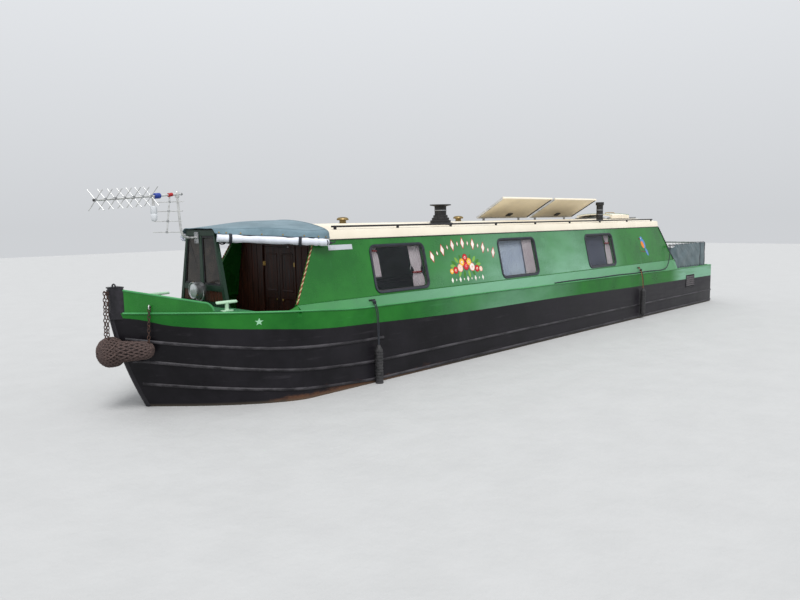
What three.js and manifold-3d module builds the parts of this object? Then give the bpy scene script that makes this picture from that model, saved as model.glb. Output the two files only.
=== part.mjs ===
// A steel narrowboat with a cratch at the bow, a long cabin and a cruiser stern.
// Millimetres. +X runs forward to the bow, +Y to port and +Z up.
// The origin is on the flat baseplate's underside, on the centre line near the middle of the boat.

import * as THREE from 'three';
import { mergeVertices } from 'three/addons/utils/BufferGeometryUtils.js';
import Module from 'manifold-3d';

const wasm = await Module();
wasm.setup();

// Driving dimensions of the hull
const BOW_X = 6335;
const STERN_X = -6500;
const HALF_BEAM = 1025;
const DRAFT = 500;
const GAP = 0.3;
const PLATE = 12;
const STEM_TOP_Z = DRAFT + 1240;
const STEM_RAKE = 350;
const STEM_HALF = 30;
const FULL_BEAM_X = 4700;
const BOW_SPLIT_X = 4780;
const STERN_SPLIT_X = -4080;
const WALL = 70;
const COUNTER_Z = DRAFT - 30;
const COUNTER_RADIUS = 180;
const SWIM_END_X = -5750;
const DECK_Z = DRAFT + 750;
const SHAFT_Z = 240;
const STOCK_X = -6030;

// Driving dimensions of the cabin
const CABIN_BASE_Z = DRAFT + 990;
const CABIN_BASE_Y = 948;
const CABIN_TOP_Z = DRAFT + 1645;
const CABIN_LEAN = 0.2168;
const SIDE_THICK = 45;
const SIDE_FRONT = { base: 4765, top: 4415 };
const SIDE_REAR = { base: -4555, top: -4135 };
const ROOF_FRONT_X = 4300;
const ROOF_REAR_X = -4140;
const ROOF_EDGE = { y: 784, z: DRAFT + 1755 };
const ROOF_CROWN_Z = DRAFT + 1825;
const ROOF_THICK = 50;
const FLOOR_Z = 165;
const WELL_FLOOR_Z = DRAFT + 250;
const WELL_FRONT_X = 5250;
const FRONT_WALL = { front: 4300, rear: 4255 };
const REAR_WALL = { front: -4090, rear: -4135 };
const FLANGE_Y = 905;
const DOOR_CLEAR = 5;
const DOOR_THICK = 30;
const DOOR_HALF = 306;

// Window openings along the cabin side, by their forward edge
const WINDOW = { width: 937, low: DRAFT + 1012, high: DRAFT + 1571, corner: 85, frame: 25 };
const WINDOW_FRONTS = [3635, 1162, -1263];

const paint = (color, metalness, roughness) =>
  new THREE.MeshStandardMaterial({ color, metalness, roughness });
const HULL_BLACK = paint(0x1d1d20, 0.2, 0.55);
const GREEN = paint(0x1f7a33, 0.1, 0.3);
const CREAM = paint(0xe9dfc4, 0.05, 0.5);
const WOOD = paint(0x5a2a16, 0.0, 0.5);
const STEEL = paint(0x8c9094, 0.8, 0.4);
const GLASS = paint(0x39424c, 0.1, 0.1);
const CANVAS = paint(0x4b6672, 0.0, 0.9);
const ROPE = paint(0x5b4636, 0.0, 0.95);
const BRONZE = paint(0x9a7430, 0.8, 0.35);
const RUBBER = paint(0x16171a, 0.0, 0.7);

const boat = new THREE.Group();

// Turns a closed three.js geometry into a solid that can be joined and cut
function solidOf(geometry) {
  const bare = geometry.clone();
  bare.deleteAttribute('normal');
  bare.deleteAttribute('uv');
  const merged = mergeVertices(bare, 1e-3);
  return new wasm.Manifold(new wasm.Mesh({
    numProp: 3,
    vertProperties: new Float32Array(merged.attributes.position.array),
    triVerts: new Uint32Array(merged.index.array),
  }));
}

function geometryOf(solid) {
  const mesh = solid.getMesh();
  const geometry = new THREE.BufferGeometry();
  geometry.setAttribute('position', new THREE.BufferAttribute(mesh.vertProperties, 3));
  geometry.setIndex(new THREE.BufferAttribute(mesh.triVerts, 1));
  geometry.computeVertexNormals();
  return geometry;
}

function join(solids) {
  return solids.reduce((whole, piece) => whole.add(piece));
}

function addPiece(name, solid, material) {
  const mesh = new THREE.Mesh(geometryOf(solid), material);
  mesh.name = name;
  boat.add(mesh);
}

// The same solid on the other side of the boat
function mirrored(solid) {
  return solid.mirror([0, 1, 0]);
}

function addBothSides(name, solid, material) {
  addPiece(`${name}_port`, solid, material);
  addPiece(`${name}_starboard`, mirrored(solid), material);
}

function box(x0, x1, y0, y1, z0, z1) {
  const geometry = new THREE.BoxGeometry(x1 - x0, y1 - y0, z1 - z0);
  geometry.translate((x0 + x1) / 2, (y0 + y1) / 2, (z0 + z1) / 2);
  return solidOf(geometry);
}

// A cylinder or cone from one point to another
function rod(from, to, radius, sides = 12, endRadius = radius) {
  const a = new THREE.Vector3(...from);
  const b = new THREE.Vector3(...to);
  const along = b.clone().sub(a);
  const geometry = new THREE.CylinderGeometry(endRadius, radius, along.length(), sides);
  const turn = new THREE.Quaternion().setFromUnitVectors(new THREE.Vector3(0, 1, 0), along.clone().normalize());
  geometry.applyQuaternion(turn);
  geometry.translate(...a.add(b).multiplyScalar(0.5).toArray());
  return solidOf(geometry);
}

// A round tube along a smooth curve through the points
function tube(points, radius, steps, sides = 8) {
  const curve = new THREE.CatmullRomCurve3(points.map((p) => new THREE.Vector3(...p)), false, 'centripetal');
  const section = new THREE.Shape();
  for (let i = 0; i < sides; i += 1) {
    const angle = (2 * Math.PI * i) / sides;
    const corner = [radius * Math.cos(angle), radius * Math.sin(angle)];
    if (i === 0) section.moveTo(...corner);
    else section.lineTo(...corner);
  }
  return solidOf(new THREE.ExtrudeGeometry(section, { extrudePath: curve, steps, bevelEnabled: false }));
}

// A solid through rings of equal length, each a list of [x, y, z], closed by flat ends
function loft(rings) {
  const count = rings[0].length;
  const position = rings.flat(2);
  const index = [];
  for (let r = 0; r + 1 < rings.length; r += 1) {
    for (let i = 0; i < count; i += 1) {
      const a = r * count + i;
      const b = r * count + ((i + 1) % count);
      index.push(a, b, a + count, b, b + count, a + count);
    }
  }
  const contour = flatten(rings[0]);
  const clockwise = THREE.ShapeUtils.isClockWise(contour);
  const last = (rings.length - 1) * count;
  for (const triangle of THREE.ShapeUtils.triangulateShape(contour, [])) {
    const [a, b, c] = clockwise ? [...triangle].reverse() : triangle;
    index.push(a, c, b);
    index.push(last + a, last + b, last + c);
  }
  const geometry = new THREE.BufferGeometry();
  geometry.setAttribute('position', new THREE.Float32BufferAttribute(position, 3));
  geometry.setIndex(index);
  return solidOf(outward(geometry));
}

// The ring's outline in the plane that shows it best
function flatten(ring) {
  const spread = [0, 1, 2].map((k) => {
    const values = ring.map((p) => p[k]);
    return Math.max(...values) - Math.min(...values);
  });
  const dropped = spread.indexOf(Math.min(...spread));
  const [u, v] = [0, 1, 2].filter((k) => k !== dropped);
  return ring.map((p) => new THREE.Vector2(p[u], p[v]));
}

// Flips the triangles where they face inwards. The caps follow the ring's own direction
function outward(geometry) {
  const index = geometry.index.array;
  const at = (i) => new THREE.Vector3().fromBufferAttribute(geometry.attributes.position, i);
  let volume = 0;
  for (let i = 0; i < index.length; i += 3) {
    volume += at(index[i]).dot(at(index[i + 1]).cross(at(index[i + 2]))) / 6;
  }
  if (volume < 0) {
    for (let i = 0; i < index.length; i += 3) {
      [index[i + 1], index[i + 2]] = [index[i + 2], index[i + 1]];
    }
  }
  return geometry;
}

// Extrudes an outline of [a, b] points along one axis, from low to high
function prism(outline, axis, low, high) {
  const place = {
    x: (p, d) => [d, p[0], p[1]],
    y: (p, d) => [p[0], d, p[1]],
    z: (p, d) => [p[0], p[1], d],
  }[axis];
  return prismBetween(outline, (p) => place(p, low), (p) => place(p, high));
}

// Extrudes an outline between two placing rules, one for each end
function prismBetween(outline, placeLow, placeHigh) {
  const points = outline.map((p) => new THREE.Vector2(...p));
  const ordered = THREE.ShapeUtils.isClockWise(points) ? [...outline].reverse() : outline;
  const contour = ordered.map((p) => new THREE.Vector2(...p));
  const count = ordered.length;
  const position = [...ordered.map(placeLow), ...ordered.map(placeHigh)].flat();
  const index = [];
  for (let i = 0; i < count; i += 1) {
    const j = (i + 1) % count;
    index.push(i, j, i + count, j, j + count, i + count);
  }
  for (const [a, b, c] of THREE.ShapeUtils.triangulateShape(contour, [])) {
    index.push(a, c, b);
    index.push(count + a, count + b, count + c);
  }
  const geometry = new THREE.BufferGeometry();
  geometry.setAttribute('position', new THREE.Float32BufferAttribute(position, 3));
  geometry.setIndex(index);
  return solidOf(outward(geometry));
}

// Height of the hull's edge above the baseplate: straight along the cabin, rising at the bow
function sheer(x) {
  const straight = DRAFT + 785 + ((x + BOW_X) * 100) / 10635;
  const rise = Math.max(0, (x - 4100) / (BOW_X - 4100));
  return straight + 90 * (1 - (1 - rise) ** 2);
}

// Where the raked stem is at a height
function stemX(z) {
  return BOW_X - STEM_RAKE * Math.max(0, (STEM_TOP_Z - z) / (STEM_TOP_Z - DRAFT)) ** 1.8;
}

// Half the hull's breadth at a place along it and a height: fine at the bottom, bluff at the top
function halfBreadth(x, z) {
  if (x <= FULL_BEAM_X) return HALF_BEAM;
  const above = (z - DRAFT) / 950;
  const fullness = above < 0 ? 1.55 + 0.38 * above : 1.55 + 0.42 * Math.min(above, 1.1);
  const share = Math.min(1, Math.max(0, (stemX(z) - x) / (stemX(z) - FULL_BEAM_X)));
  return STEM_HALF + (HALF_BEAM - STEM_HALF) * (1 - (1 - share) ** fullness);
}

// Half the breadth of the counter, which has round corners
function counterHalf(x) {
  const bend = STERN_X + COUNTER_RADIUS - x;
  if (bend <= 0) return HALF_BEAM;
  return HALF_BEAM - COUNTER_RADIUS + Math.sqrt(Math.max(0, COUNTER_RADIUS ** 2 - bend ** 2));
}

// Half the breadth of the swim, which narrows the hull under water towards the propeller
function swimHalf(x) {
  const share = Math.min(1, Math.max(0, (STERN_SPLIT_X - x) / (STERN_SPLIT_X - SWIM_END_X)));
  return STEM_HALF + (HALF_BEAM - STEM_HALF) * (1 - share ** 1.6);
}

// A closed outline in plan from a breadth rule, made narrower by an inset
function planOutline(breadth, xs, inset = 0) {
  const port = xs.map((x) => [x, breadth(x) - inset]);
  const starboard = [...port].reverse().map(([x, y]) => [x, -y]);
  return [...port, ...starboard];
}

function range(from, to, steps) {
  return Array.from({ length: steps + 1 }, (_, i) => from + ((to - from) * i) / steps);
}

const cabinOuterY = (z) => CABIN_BASE_Y - CABIN_LEAN * (z - CABIN_BASE_Z);
const roofZ = (y) => ROOF_CROWN_Z - (ROOF_CROWN_Z - ROOF_EDGE.z) * (y / ROOF_EDGE.y) ** 2;

// Rubbing strakes: height above water by distance from the bow, and where each one ends aft
const STRAKES = [
  { low: 510, rise: 240, power: 2.0, start: 0, end: 3615 },
  { low: 250, rise: 250, power: 1.7, start: 250, end: STERN_X },
  { low: 40, rise: 220, power: 1.4, start: 250, end: STERN_X },
];
const STRAKE_REACH = 2700;
const STRAKE = { high: 40, proud: 15 };

function strakeZ(strake, x) {
  const along = (BOW_X - x - strake.start) / (STRAKE_REACH - strake.start);
  return DRAFT + strake.low + strake.rise * Math.max(0, 1 - Math.max(0, along)) ** strake.power;
}

// One strake along the port side between two places, as a rounded bar half sunk in the plating
function strakeBar(strake, xs, breadth) {
  const half = STRAKE.high / 2;
  const rings = xs.map((x) => {
    const z = strakeZ(strake, x);
    const y = breadth(x, z);
    return [
      [x, y - 20, z - half], [x, y, z - half], [x, y + STRAKE.proud, z - half / 2],
      [x, y + STRAKE.proud, z + half / 2], [x, y, z + half], [x, y - 20, z + half],
    ];
  });
  return loft(rings);
}

function bowShell() {
  const levels = [12.3, 270, DRAFT, 800, 1150];
  const shares = [0, 0.03, 0.08, 0.15, 0.24, 0.34, 0.46, 0.6, 0.76, 0.9, 1];
  const ring = (level, top) => {
    const port = shares.map((share) => {
      let z = top ? sheer(BOW_X - share * (BOW_X - BOW_SPLIT_X)) : level;
      const x = stemX(z) - share * (stemX(z) - BOW_SPLIT_X);
      if (top) z = sheer(x);
      return [x, halfBreadth(x, z), z];
    });
    return [...port, ...[...port].reverse().map(([x, y, z]) => [x, -y, z])];
  };
  const rings = levels.map((level) => ring(level, false));
  rings.push(ring(0, true));
  return stackedRings(rings);
}

// A solid through level rings whose two ends are closed by strips from port to starboard
function stackedRings(rings) {
  const count = rings[0].length;
  const index = [];
  for (let r = 0; r + 1 < rings.length; r += 1) {
    for (let i = 0; i < count; i += 1) {
      const a = r * count + i;
      const b = r * count + ((i + 1) % count);
      index.push(a, a + count, b, b, a + count, b + count);
    }
  }
  const top = (rings.length - 1) * count;
  for (let i = 0; i + 1 < count / 2; i += 1) {
    const mate = count - 1 - i;
    index.push(i, i + 1, mate, i + 1, mate - 1, mate);
    index.push(top + i, top + mate, top + i + 1, top + i + 1, top + mate, top + mate - 1);
  }
  const geometry = new THREE.BufferGeometry();
  geometry.setAttribute('position', new THREE.Float32BufferAttribute(rings.flat(2), 3));
  geometry.setIndex(index);
  return solidOf(outward(geometry));
}

// The space of the well deck inside the bow's plating
function wellVoid(inset, floor, xs) {
  const levels = [floor, 1000, 1250, 1560];
  const rings = levels.map((z) => {
    const port = xs.map((x) => [x, halfBreadth(x, z) - inset, z]);
    return [...port, ...[...port].reverse().map(([x, y]) => [x, -y, z])];
  });
  return stackedRings(rings);
}

// The bulwark round the foredeck: a thin wall whose top falls aft and turns down at its end
const BULWARK = { front: 6235, knee: 5680, end: 5600, inset: 12, thick: 14, kneeZ: DRAFT + 1080 };

function bulwarkTop(x) {
  if (x >= BULWARK.knee) {
    const share = (x - BULWARK.knee) / (BOW_X - BULWARK.knee);
    return BULWARK.kneeZ + share * (STEM_TOP_Z - BULWARK.kneeZ);
  }
  const drop = (BULWARK.knee - x) / (BULWARK.knee - BULWARK.end);
  return sheer(x) + (BULWARK.kneeZ - sheer(x)) * Math.sqrt(Math.max(0, 1 - drop ** 2)) + 2;
}

function bulwark() {
  const xs = [5601, 5606, 5618, 5640, 5680, 5800, 5920, 6040, 6130, 6190, BULWARK.front];
  const rings = xs.map((x) => {
    const y = halfBreadth(x, sheer(x)) - BULWARK.inset;
    const low = sheer(x) - 20;
    const top = bulwarkTop(x);
    return [[x, y, low], [x, y, top], [x, y - BULWARK.thick, top], [x, y - BULWARK.thick, low]];
  });
  return loft(rings);
}

// The stem post above the deck, with the flat cap on its head
function stemHead() {
  const z0 = sheer(BOW_X) - 60;
  const outline = [
    [BULWARK.front - 5, 112], [6290, 66], [6330, STEM_HALF], [6330, -STEM_HALF], [6290, -66], [BULWARK.front - 5, -112],
  ];
  const post = prism(outline, 'z', z0, STEM_TOP_Z - 2);
  const cap = box(6205, 6352, -62, 62, STEM_TOP_Z - 3, STEM_TOP_Z + 9);
  const ring = rod([6275, -40, STEM_TOP_Z + 26], [6275, 40, STEM_TOP_Z + 26], 9);
  const ears = [-36, 36].map((y) => box(6262, 6288, y - 5, y + 5, STEM_TOP_Z + 5, STEM_TOP_Z + 36));
  return join([post, cap, ring, ...ears]);
}

const WELL_XS = [BOW_SPLIT_X - 20, 4860, 4950, 5050, 5150, WELL_FRONT_X];

function hullBow() {
  const hollow = bowShell().subtract(wellVoid(WALL, WELL_FLOOR_Z, WELL_XS));
  const bars = STRAKES.map((strake) => {
    const stem = stemX(strakeZ(strake, BOW_X - 200));
    const stations = [BOW_SPLIT_X, 5000, 5250, 5500, 5750, 5900, 6000, stem - 40];
    return strakeBar(strake, stations, halfBreadth);
  });
  const side = join([bulwark(), ...bars]);
  return join([hollow, side, mirrored(side), stemHead()]);
}

// The cut through one side of the hull: plating, sloped gunwale and the flange under the cabin
function sideRing(x) {
  const edge = sheer(x);
  const levels = [12.3, 270, DRAFT, 900];
  const outer = levels.map((z) => [x, halfBreadth(x, z), z]);
  return [
    ...outer, [x, halfBreadth(x, edge), edge],
    [x, CABIN_BASE_Y + 3, CABIN_BASE_Z], [x, FLANGE_Y, CABIN_BASE_Z], [x, FLANGE_Y, CABIN_BASE_Z - 35],
    [x, HALF_BEAM - WALL, CABIN_BASE_Z - 90], [x, HALF_BEAM - WALL, 12.3],
  ];
}

function hullSide() {
  const xs = [BOW_SPLIT_X - GAP, FULL_BEAM_X, 4400, 4100, STERN_SPLIT_X + GAP];
  const bars = STRAKES.map((strake) => {
    const end = Math.max(strake.end, STERN_SPLIT_X + GAP);
    const stations = [BOW_SPLIT_X - GAP, 4400, 4000, 3636, end];
    return strakeBar(strake, stations, halfBreadth);
  });
  return join([loft(xs.map(sideRing)), ...bars]);
}

const COUNTER_XS = [
  STERN_SPLIT_X, -5000, -6320, -6366, -6410, -6447, -6476, -6494, STERN_X,
];
const SWIM_XS = [STERN_SPLIT_X, -4350, -4650, -4950, -5250, -5500, SWIM_END_X];
const BAY = { front: -4140, rear: -5350, floor: 70, ledge: 1240 };
// The air vent in the side of the engine space: a thin frame with slats that lean out over each other
const LOUVRE = { rear: -5435, front: -5020, low: DRAFT + 395, high: DRAFT + 650, pitch: 45, frame: 12 };

function louvre() {
  const { rear, front, low, high, pitch, frame } = LOUVRE;
  const y = HALF_BEAM;
  const rails = [low, high - frame].map((z) => box(rear, front, y - 2, y + 8, z, z + frame));
  const posts = [rear, front - frame].map((x) => box(x, x + frame, y - 2, y + 8, low, high));
  const slats = range(low + pitch, high - pitch, 4).map((z) => prism(
    [[y - 2, z + 24], [y + 12, z - 10], [y + 12, z - 16], [y - 2, z - 10]], 'x', rear + 6, front - 6,
  ));
  return join([...rails, ...posts, ...slats]);
}

// The stern: counter above the water, swim below it, engine bay inside and a raised rim round the deck
function hullStern() {
  const counter = prismBetween(
    planOutline(counterHalf, COUNTER_XS),
    ([x, y]) => [x, y, COUNTER_Z],
    ([x, y]) => [x, y, sheer(x)],
  );
  const swim = prism(planOutline(swimHalf, SWIM_XS), 'z', 12.3, COUNTER_Z + 5);
  const gunwale = prism(
    [[1024, sheer(-4600) - 40], [1024, sheer(-4340)], [CABIN_BASE_Y + 3, CABIN_BASE_Z],
      [FLANGE_Y, CABIN_BASE_Z], [FLANGE_Y, sheer(-4600) - 40]],
    'x', -4600, STERN_SPLIT_X,
  );
  const bayXs = [BAY.front, -4650, -4950, -5250, BAY.rear];
  const lower = prism(planOutline(swimHalf, bayXs, WALL), 'z', BAY.floor, COUNTER_Z + 60);
  const upper = box(BAY.rear, BAY.front, -HALF_BEAM + WALL, HALF_BEAM - WALL, COUNTER_Z + 50, BAY.ledge + 200);
  const rimXs = [STERN_SPLIT_X + 20, -6320, -6366, -6410, -6440];
  const deckWell = prism(planOutline(counterHalf, rimXs, 60), 'z', DECK_Z - PLATE, DECK_Z + 60);
  const stockBore = rod([STOCK_X, 0, COUNTER_Z - 50], [STOCK_X, 0, DECK_Z + 20], 24, 20);
  const bars = STRAKES.slice(1).map((strake) => strakeBar(strake, COUNTER_XS.slice(0, -1), counterHalf));
  const body = join([counter, swim]).subtract(deckWell).subtract(lower).subtract(upper).subtract(stockBore);
  const wall = box(BAY.front, STERN_SPLIT_X, -HALF_BEAM + WALL, HALF_BEAM - WALL, 100, DECK_Z);
  const side = join([gunwale, louvre(), ...bars]);
  return join([body, wall, side, mirrored(side)]);
}

// The baseplate, with the skeg that carries the foot of the rudder
function baseplate() {
  const bowXs = [FULL_BEAM_X, 4900, 5100, 5300, 5450, 5570, 5650, stemX(0)];
  const half = (x) => (x > 0 ? halfBreadth(Math.min(x, stemX(0) - 1), 12) : swimHalf(x));
  const plate = prism(planOutline(half, [...SWIM_XS].reverse().concat(bowXs)), 'z', 0, PLATE);
  const skeg = box(STOCK_X - 60, SWIM_END_X + 60, -38, 38, 0, 30);
  const clear = box(SWIM_END_X, SWIM_END_X + 80, -60, 60, PLATE, 60);
  return join([plate, skeg.subtract(clear)]);
}

// A rounded rectangle as an outline, used for window holes and frames
function roundedRectangle(x0, x1, z0, z1, radius) {
  const shape = new THREE.Shape();
  shape.moveTo(x0 + radius, z0);
  shape.lineTo(x1 - radius, z0);
  shape.absarc(x1 - radius, z0 + radius, radius, -Math.PI / 2, 0, false);
  shape.lineTo(x1, z1 - radius);
  shape.absarc(x1 - radius, z1 - radius, radius, 0, Math.PI / 2, false);
  shape.lineTo(x0 + radius, z1);
  shape.absarc(x0 + radius, z1 - radius, radius, Math.PI / 2, Math.PI, false);
  shape.lineTo(x0, z0 + radius);
  shape.absarc(x0 + radius, z0 + radius, radius, Math.PI, 1.5 * Math.PI, false);
  return shape;
}

// Lays a flat slab on the leaning port cabin side: shape x and y become X and Z, depth runs inwards
function onCabinSide(shape, outer, thick) {
  const geometry = new THREE.ExtrudeGeometry(shape, { depth: thick, bevelEnabled: false, curveSegments: 4 });
  const position = geometry.attributes.position;
  for (let i = 0; i < position.count; i += 1) {
    const [x, z, depth] = [position.getX(i), position.getY(i), position.getZ(i)];
    position.setXYZ(i, x, cabinOuterY(z) + outer - depth, z);
  }
  return solidOf(outward(geometry.index ? geometry : mergeVertices(stripped(geometry), 1e-3)));
}

function stripped(geometry) {
  const bare = geometry.clone();
  bare.deleteAttribute('normal');
  bare.deleteAttribute('uv');
  return bare;
}

function cabinSide() {
  const shape = new THREE.Shape([
    new THREE.Vector2(SIDE_REAR.base, CABIN_BASE_Z + GAP),
    new THREE.Vector2(SIDE_FRONT.base, CABIN_BASE_Z + GAP),
    new THREE.Vector2(SIDE_FRONT.top, CABIN_TOP_Z),
    new THREE.Vector2(SIDE_REAR.top, CABIN_TOP_Z),
  ]);
  const f = WINDOW.frame;
  for (const front of WINDOW_FRONTS) {
    const hole = roundedRectangle(
      front - WINDOW.width + f, front - f, WINDOW.low + f, WINDOW.high - f, WINDOW.corner - f,
    );
    shape.holes.push(hole);
  }
  return onCabinSide(shape, 0, SIDE_THICK);
}

// A window: a frame on the face of the cabin side and the pane in its hole
function cabinWindow(front) {
  const rear = front - WINDOW.width;
  const f = WINDOW.frame + 0.6;
  const frame = onCabinSide(roundedRectangle(rear, front, WINDOW.low, WINDOW.high, WINDOW.corner), 12, 12 - GAP);
  const pane = onCabinSide(
    roundedRectangle(rear + f, front - f, WINDOW.low + f, WINDOW.high - f, WINDOW.corner - f), 5, 25,
  );
  return join([frame, pane]);
}

// The roof: cream edge band, cambered top, a notch for the hatch and the runners that it slides on
const HATCH = { half: 372, length: 700, closedX: ROOF_REAR_X, open: 350, runnerY: 340, runnerTop: DRAFT + 1845 };

function roofOutline(inset) {
  const ys = [-1, -0.75, -0.5, -0.25, 0, 0.25, 0.5, 0.75, 1];
  const arch = ys.map((s) => [s * (ROOF_EDGE.y - inset * 0.9), roofZ(s * ROOF_EDGE.y) - inset]);
  const foot = cabinOuterY(CABIN_TOP_Z) - inset * 0.9;
  return [[-foot, CABIN_TOP_Z + GAP], ...arch, [foot, CABIN_TOP_Z + GAP]];
}

// The roof's shape a little enlarged, for cutting the feet of what stands on it
function roofSkin(rear, front) {
  return prism([...roofOutline(-0.4), ...roofOutline(ROOF_THICK).reverse()], 'x', rear, front);
}

// Mushroom vents along the middle of the roof, from a table of radius and height
const ROOF_VENTS = [3300, 1000];
const VENT_PROFILE = [[42, 0], [42, 40], [78, 46], [70, 68], [40, 82]];

function cabinRoof() {
  const outer = roofOutline(0);
  const inner = roofOutline(ROOF_THICK).reverse();
  const slab = prism([...outer, ...inner], 'x', ROOF_REAR_X, ROOF_FRONT_X);
  const notch = box(ROOF_REAR_X - 10, ROOF_REAR_X + 640, -322, 322, CABIN_TOP_Z + 20, ROOF_CROWN_Z + 50);
  const runner = box(ROOF_REAR_X + 2, ROOF_REAR_X + 1150, HATCH.runnerY - 8, HATCH.runnerY + 8,
    roofZ(HATCH.runnerY) - 15, HATCH.runnerTop);
  const lugs = PANELS.flatMap((panel) => hingeLugs(panel));
  const vents = ROOF_VENTS.map((x) => flue(x, 0, VENT_PROFILE).translate([0, 0, ROOF_CROWN_Z - 4]));
  return join([slab.subtract(notch), runner, mirrored(runner), ...lugs, ...vents]);
}

function rearHatch() {
  const { half, runnerTop } = HATCH;
  const low = runnerTop - 22;
  const side = runnerTop + 40;
  const outline = [
    [-half, low], [-half, side], [-half / 2, side + 24], [0, side + 32], [half / 2, side + 24], [half, side],
    [half, low], [half - 22, low], [half - 22, runnerTop + GAP], [half - 50, runnerTop + GAP],
    [half - 50, side - 18], [0, side + 12], [-half + 50, side - 18], [-half + 50, runnerTop + GAP],
    [-half + 22, runnerTop + GAP], [-half + 22, low],
  ];
  const rear = HATCH.closedX + HATCH.open;
  return prism(outline, 'x', rear, rear + HATCH.length);
}

// The bulkheads fill the cut through the cabin, less the door openings
function wallOutline(low, lowHalf) {
  const inset = SIDE_THICK + 0.6;
  const half = [
    [lowHalf, low], [lowHalf, CABIN_BASE_Z - 92], [FLANGE_Y - 0.6, CABIN_BASE_Z - 36],
    [FLANGE_Y - 0.6, CABIN_BASE_Z - 0.5], [CABIN_BASE_Y - inset, CABIN_BASE_Z],
    [cabinOuterY(CABIN_TOP_Z) - inset, CABIN_TOP_Z],
  ];
  const inner = roofOutline(ROOF_THICK + 0.5).slice(1, -1).reverse();
  return [...half, ...inner, ...half.map(([y, z]) => [-y, z]).reverse()];
}

const FRONT_DOOR = { low: WELL_FLOOR_Z + 70, high: DRAFT + 1560 };
const REAR_DOOR = { low: DECK_Z + 45, high: DRAFT + 1745 };

function frontBulkhead() {
  const wall = prism(wallOutline(FLOOR_Z + GAP, HALF_BEAM - WALL - 0.5), 'x', FRONT_WALL.rear, FRONT_WALL.front);
  const half = DOOR_HALF + DOOR_CLEAR;
  const opening = box(FRONT_WALL.rear - 5, FRONT_WALL.front + 5, -half, half,
    FRONT_DOOR.low - DOOR_CLEAR, FRONT_DOOR.high + DOOR_CLEAR);
  const leaves = hingeLeaves(FRONT_WALL.front, 1, FRONT_DOOR, 'wall');
  return join([wall.subtract(opening), leaves, mirrored(leaves)]);
}

function rearBulkhead() {
  const wall = prism(wallOutline(DECK_Z + GAP, FLANGE_Y - 0.6), 'x', REAR_WALL.rear, REAR_WALL.front);
  const half = DOOR_HALF + DOOR_CLEAR;
  const opening = box(REAR_WALL.rear - 5, REAR_WALL.front + 5, -half, half,
    REAR_DOOR.low - DOOR_CLEAR, ROOF_CROWN_Z + 20);
  const leaves = hingeLeaves(REAR_WALL.rear, -1, REAR_DOOR, 'wall');
  return join([wall.subtract(opening), leaves, mirrored(leaves)]);
}

// Hinge barrels for the port door of a pair. Lower barrels belong to the wall, upper ones to the door
const HINGE = { radius: 8, length: 50, offset: 8, leaf: 30 };
const HINGE_Y = DOOR_HALF + DOOR_CLEAR / 2;

function hingeLeaves(face, out, door, owner) {
  const axisX = face + out * HINGE.offset;
  const height = door.high - door.low;
  return join([0.18, 0.82].map((share) => {
    const z = door.low + share * height;
    const z0 = owner === 'wall' ? z - HINGE.length : z + 0.5;
    const z1 = owner === 'wall' ? z : z + HINGE.length;
    const barrel = rod([axisX, HINGE_Y, z0], [axisX, HINGE_Y, z1], HINGE.radius);
    const y = owner === 'wall' ? [HINGE_Y + 1, HINGE_Y + HINGE.leaf] : [HINGE_Y - HINGE.leaf, HINGE_Y - 1];
    const xs = [face - out * 2, face + out * 6].sort((a, b) => a - b);
    return join([barrel, box(xs[0], xs[1], y[0], y[1], z0, z1)]);
  }));
}

function doorLeaf(face, out, door) {
  const xs = [face, face - out * DOOR_THICK].sort((a, b) => a - b);
  const leaf = box(xs[0], xs[1], 2.5, DOOR_HALF, door.low, door.high);
  const knobX = face + out * 14;
  const knob = rod([face - out * 3, 60, (door.low + door.high) / 2], [knobX, 60, (door.low + door.high) / 2], 14);
  return join([leaf, knob, hingeLeaves(face, out, door, 'door')]);
}

// Solar panels tilted up from a hinge on the starboard side of the roof's crown
const PANELS = [{ name: 'fore', front: 130 }, { name: 'aft', front: -1380 }];
const PANEL = { length: 1420, width: 635, thick: 30, axisY: -350, axisZ: DRAFT + 1872, tilt: 30 };
const PANEL_HINGES = [0.15, 0.85];

function hingeLugs(panel) {
  return PANEL_HINGES.flatMap((share) => {
    const x = panel.front - share * PANEL.length;
    const ground = roofZ(PANEL.axisY) - 12;
    return [
      rod([x - 25, PANEL.axisY, PANEL.axisZ], [x + 25, PANEL.axisY, PANEL.axisZ], 9),
      box(x - 25, x + 25, PANEL.axisY - 9, PANEL.axisY + 9, ground, PANEL.axisZ),
    ];
  });
}

function solarPanel(panel) {
  const rear = panel.front - PANEL.length;
  const slab = box(rear, panel.front, 16, PANEL.width, -PANEL.thick + 6, 6);
  const knuckles = PANEL_HINGES.flatMap((share) => [-1, 1].map((side) => {
    const near = panel.front - share * PANEL.length + side * 25.6;
    const far = near + side * 30;
    const [x0, x1] = [Math.min(near, far), Math.max(near, far)];
    return join([rod([x0, 0, 0], [x1, 0, 0], 9), box(x0, x1, 0, 22, -9, 6)]);
  }));
  return join([slab, ...knuckles]).rotate([PANEL.tilt, 0, 0]).translate([0, PANEL.axisY, PANEL.axisZ]);
}

// Handrails: a slim bar on small feet along each edge of the roof
function handrail() {
  const y = 762;
  const z = roofZ(y) + 34;
  const bar = rod([4130, y, z], [-3960, y, z], 11, 8);
  const feet = range(4080, -3910, 8).map((x) => box(x - 16, x + 16, y - 8, y + 8, roofZ(y + 8) - 3, z));
  return join([bar, ...feet]).subtract(roofSkin(ROOF_REAR_X, ROOF_FRONT_X));
}

// The cratch: a board across the front of the well deck and a ridge plank back to the cabin
const CRATCH = { x: 5280, thick: 40, topHalf: 280, lowHalf: 480, topZ: DRAFT + 1780 };

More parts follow.
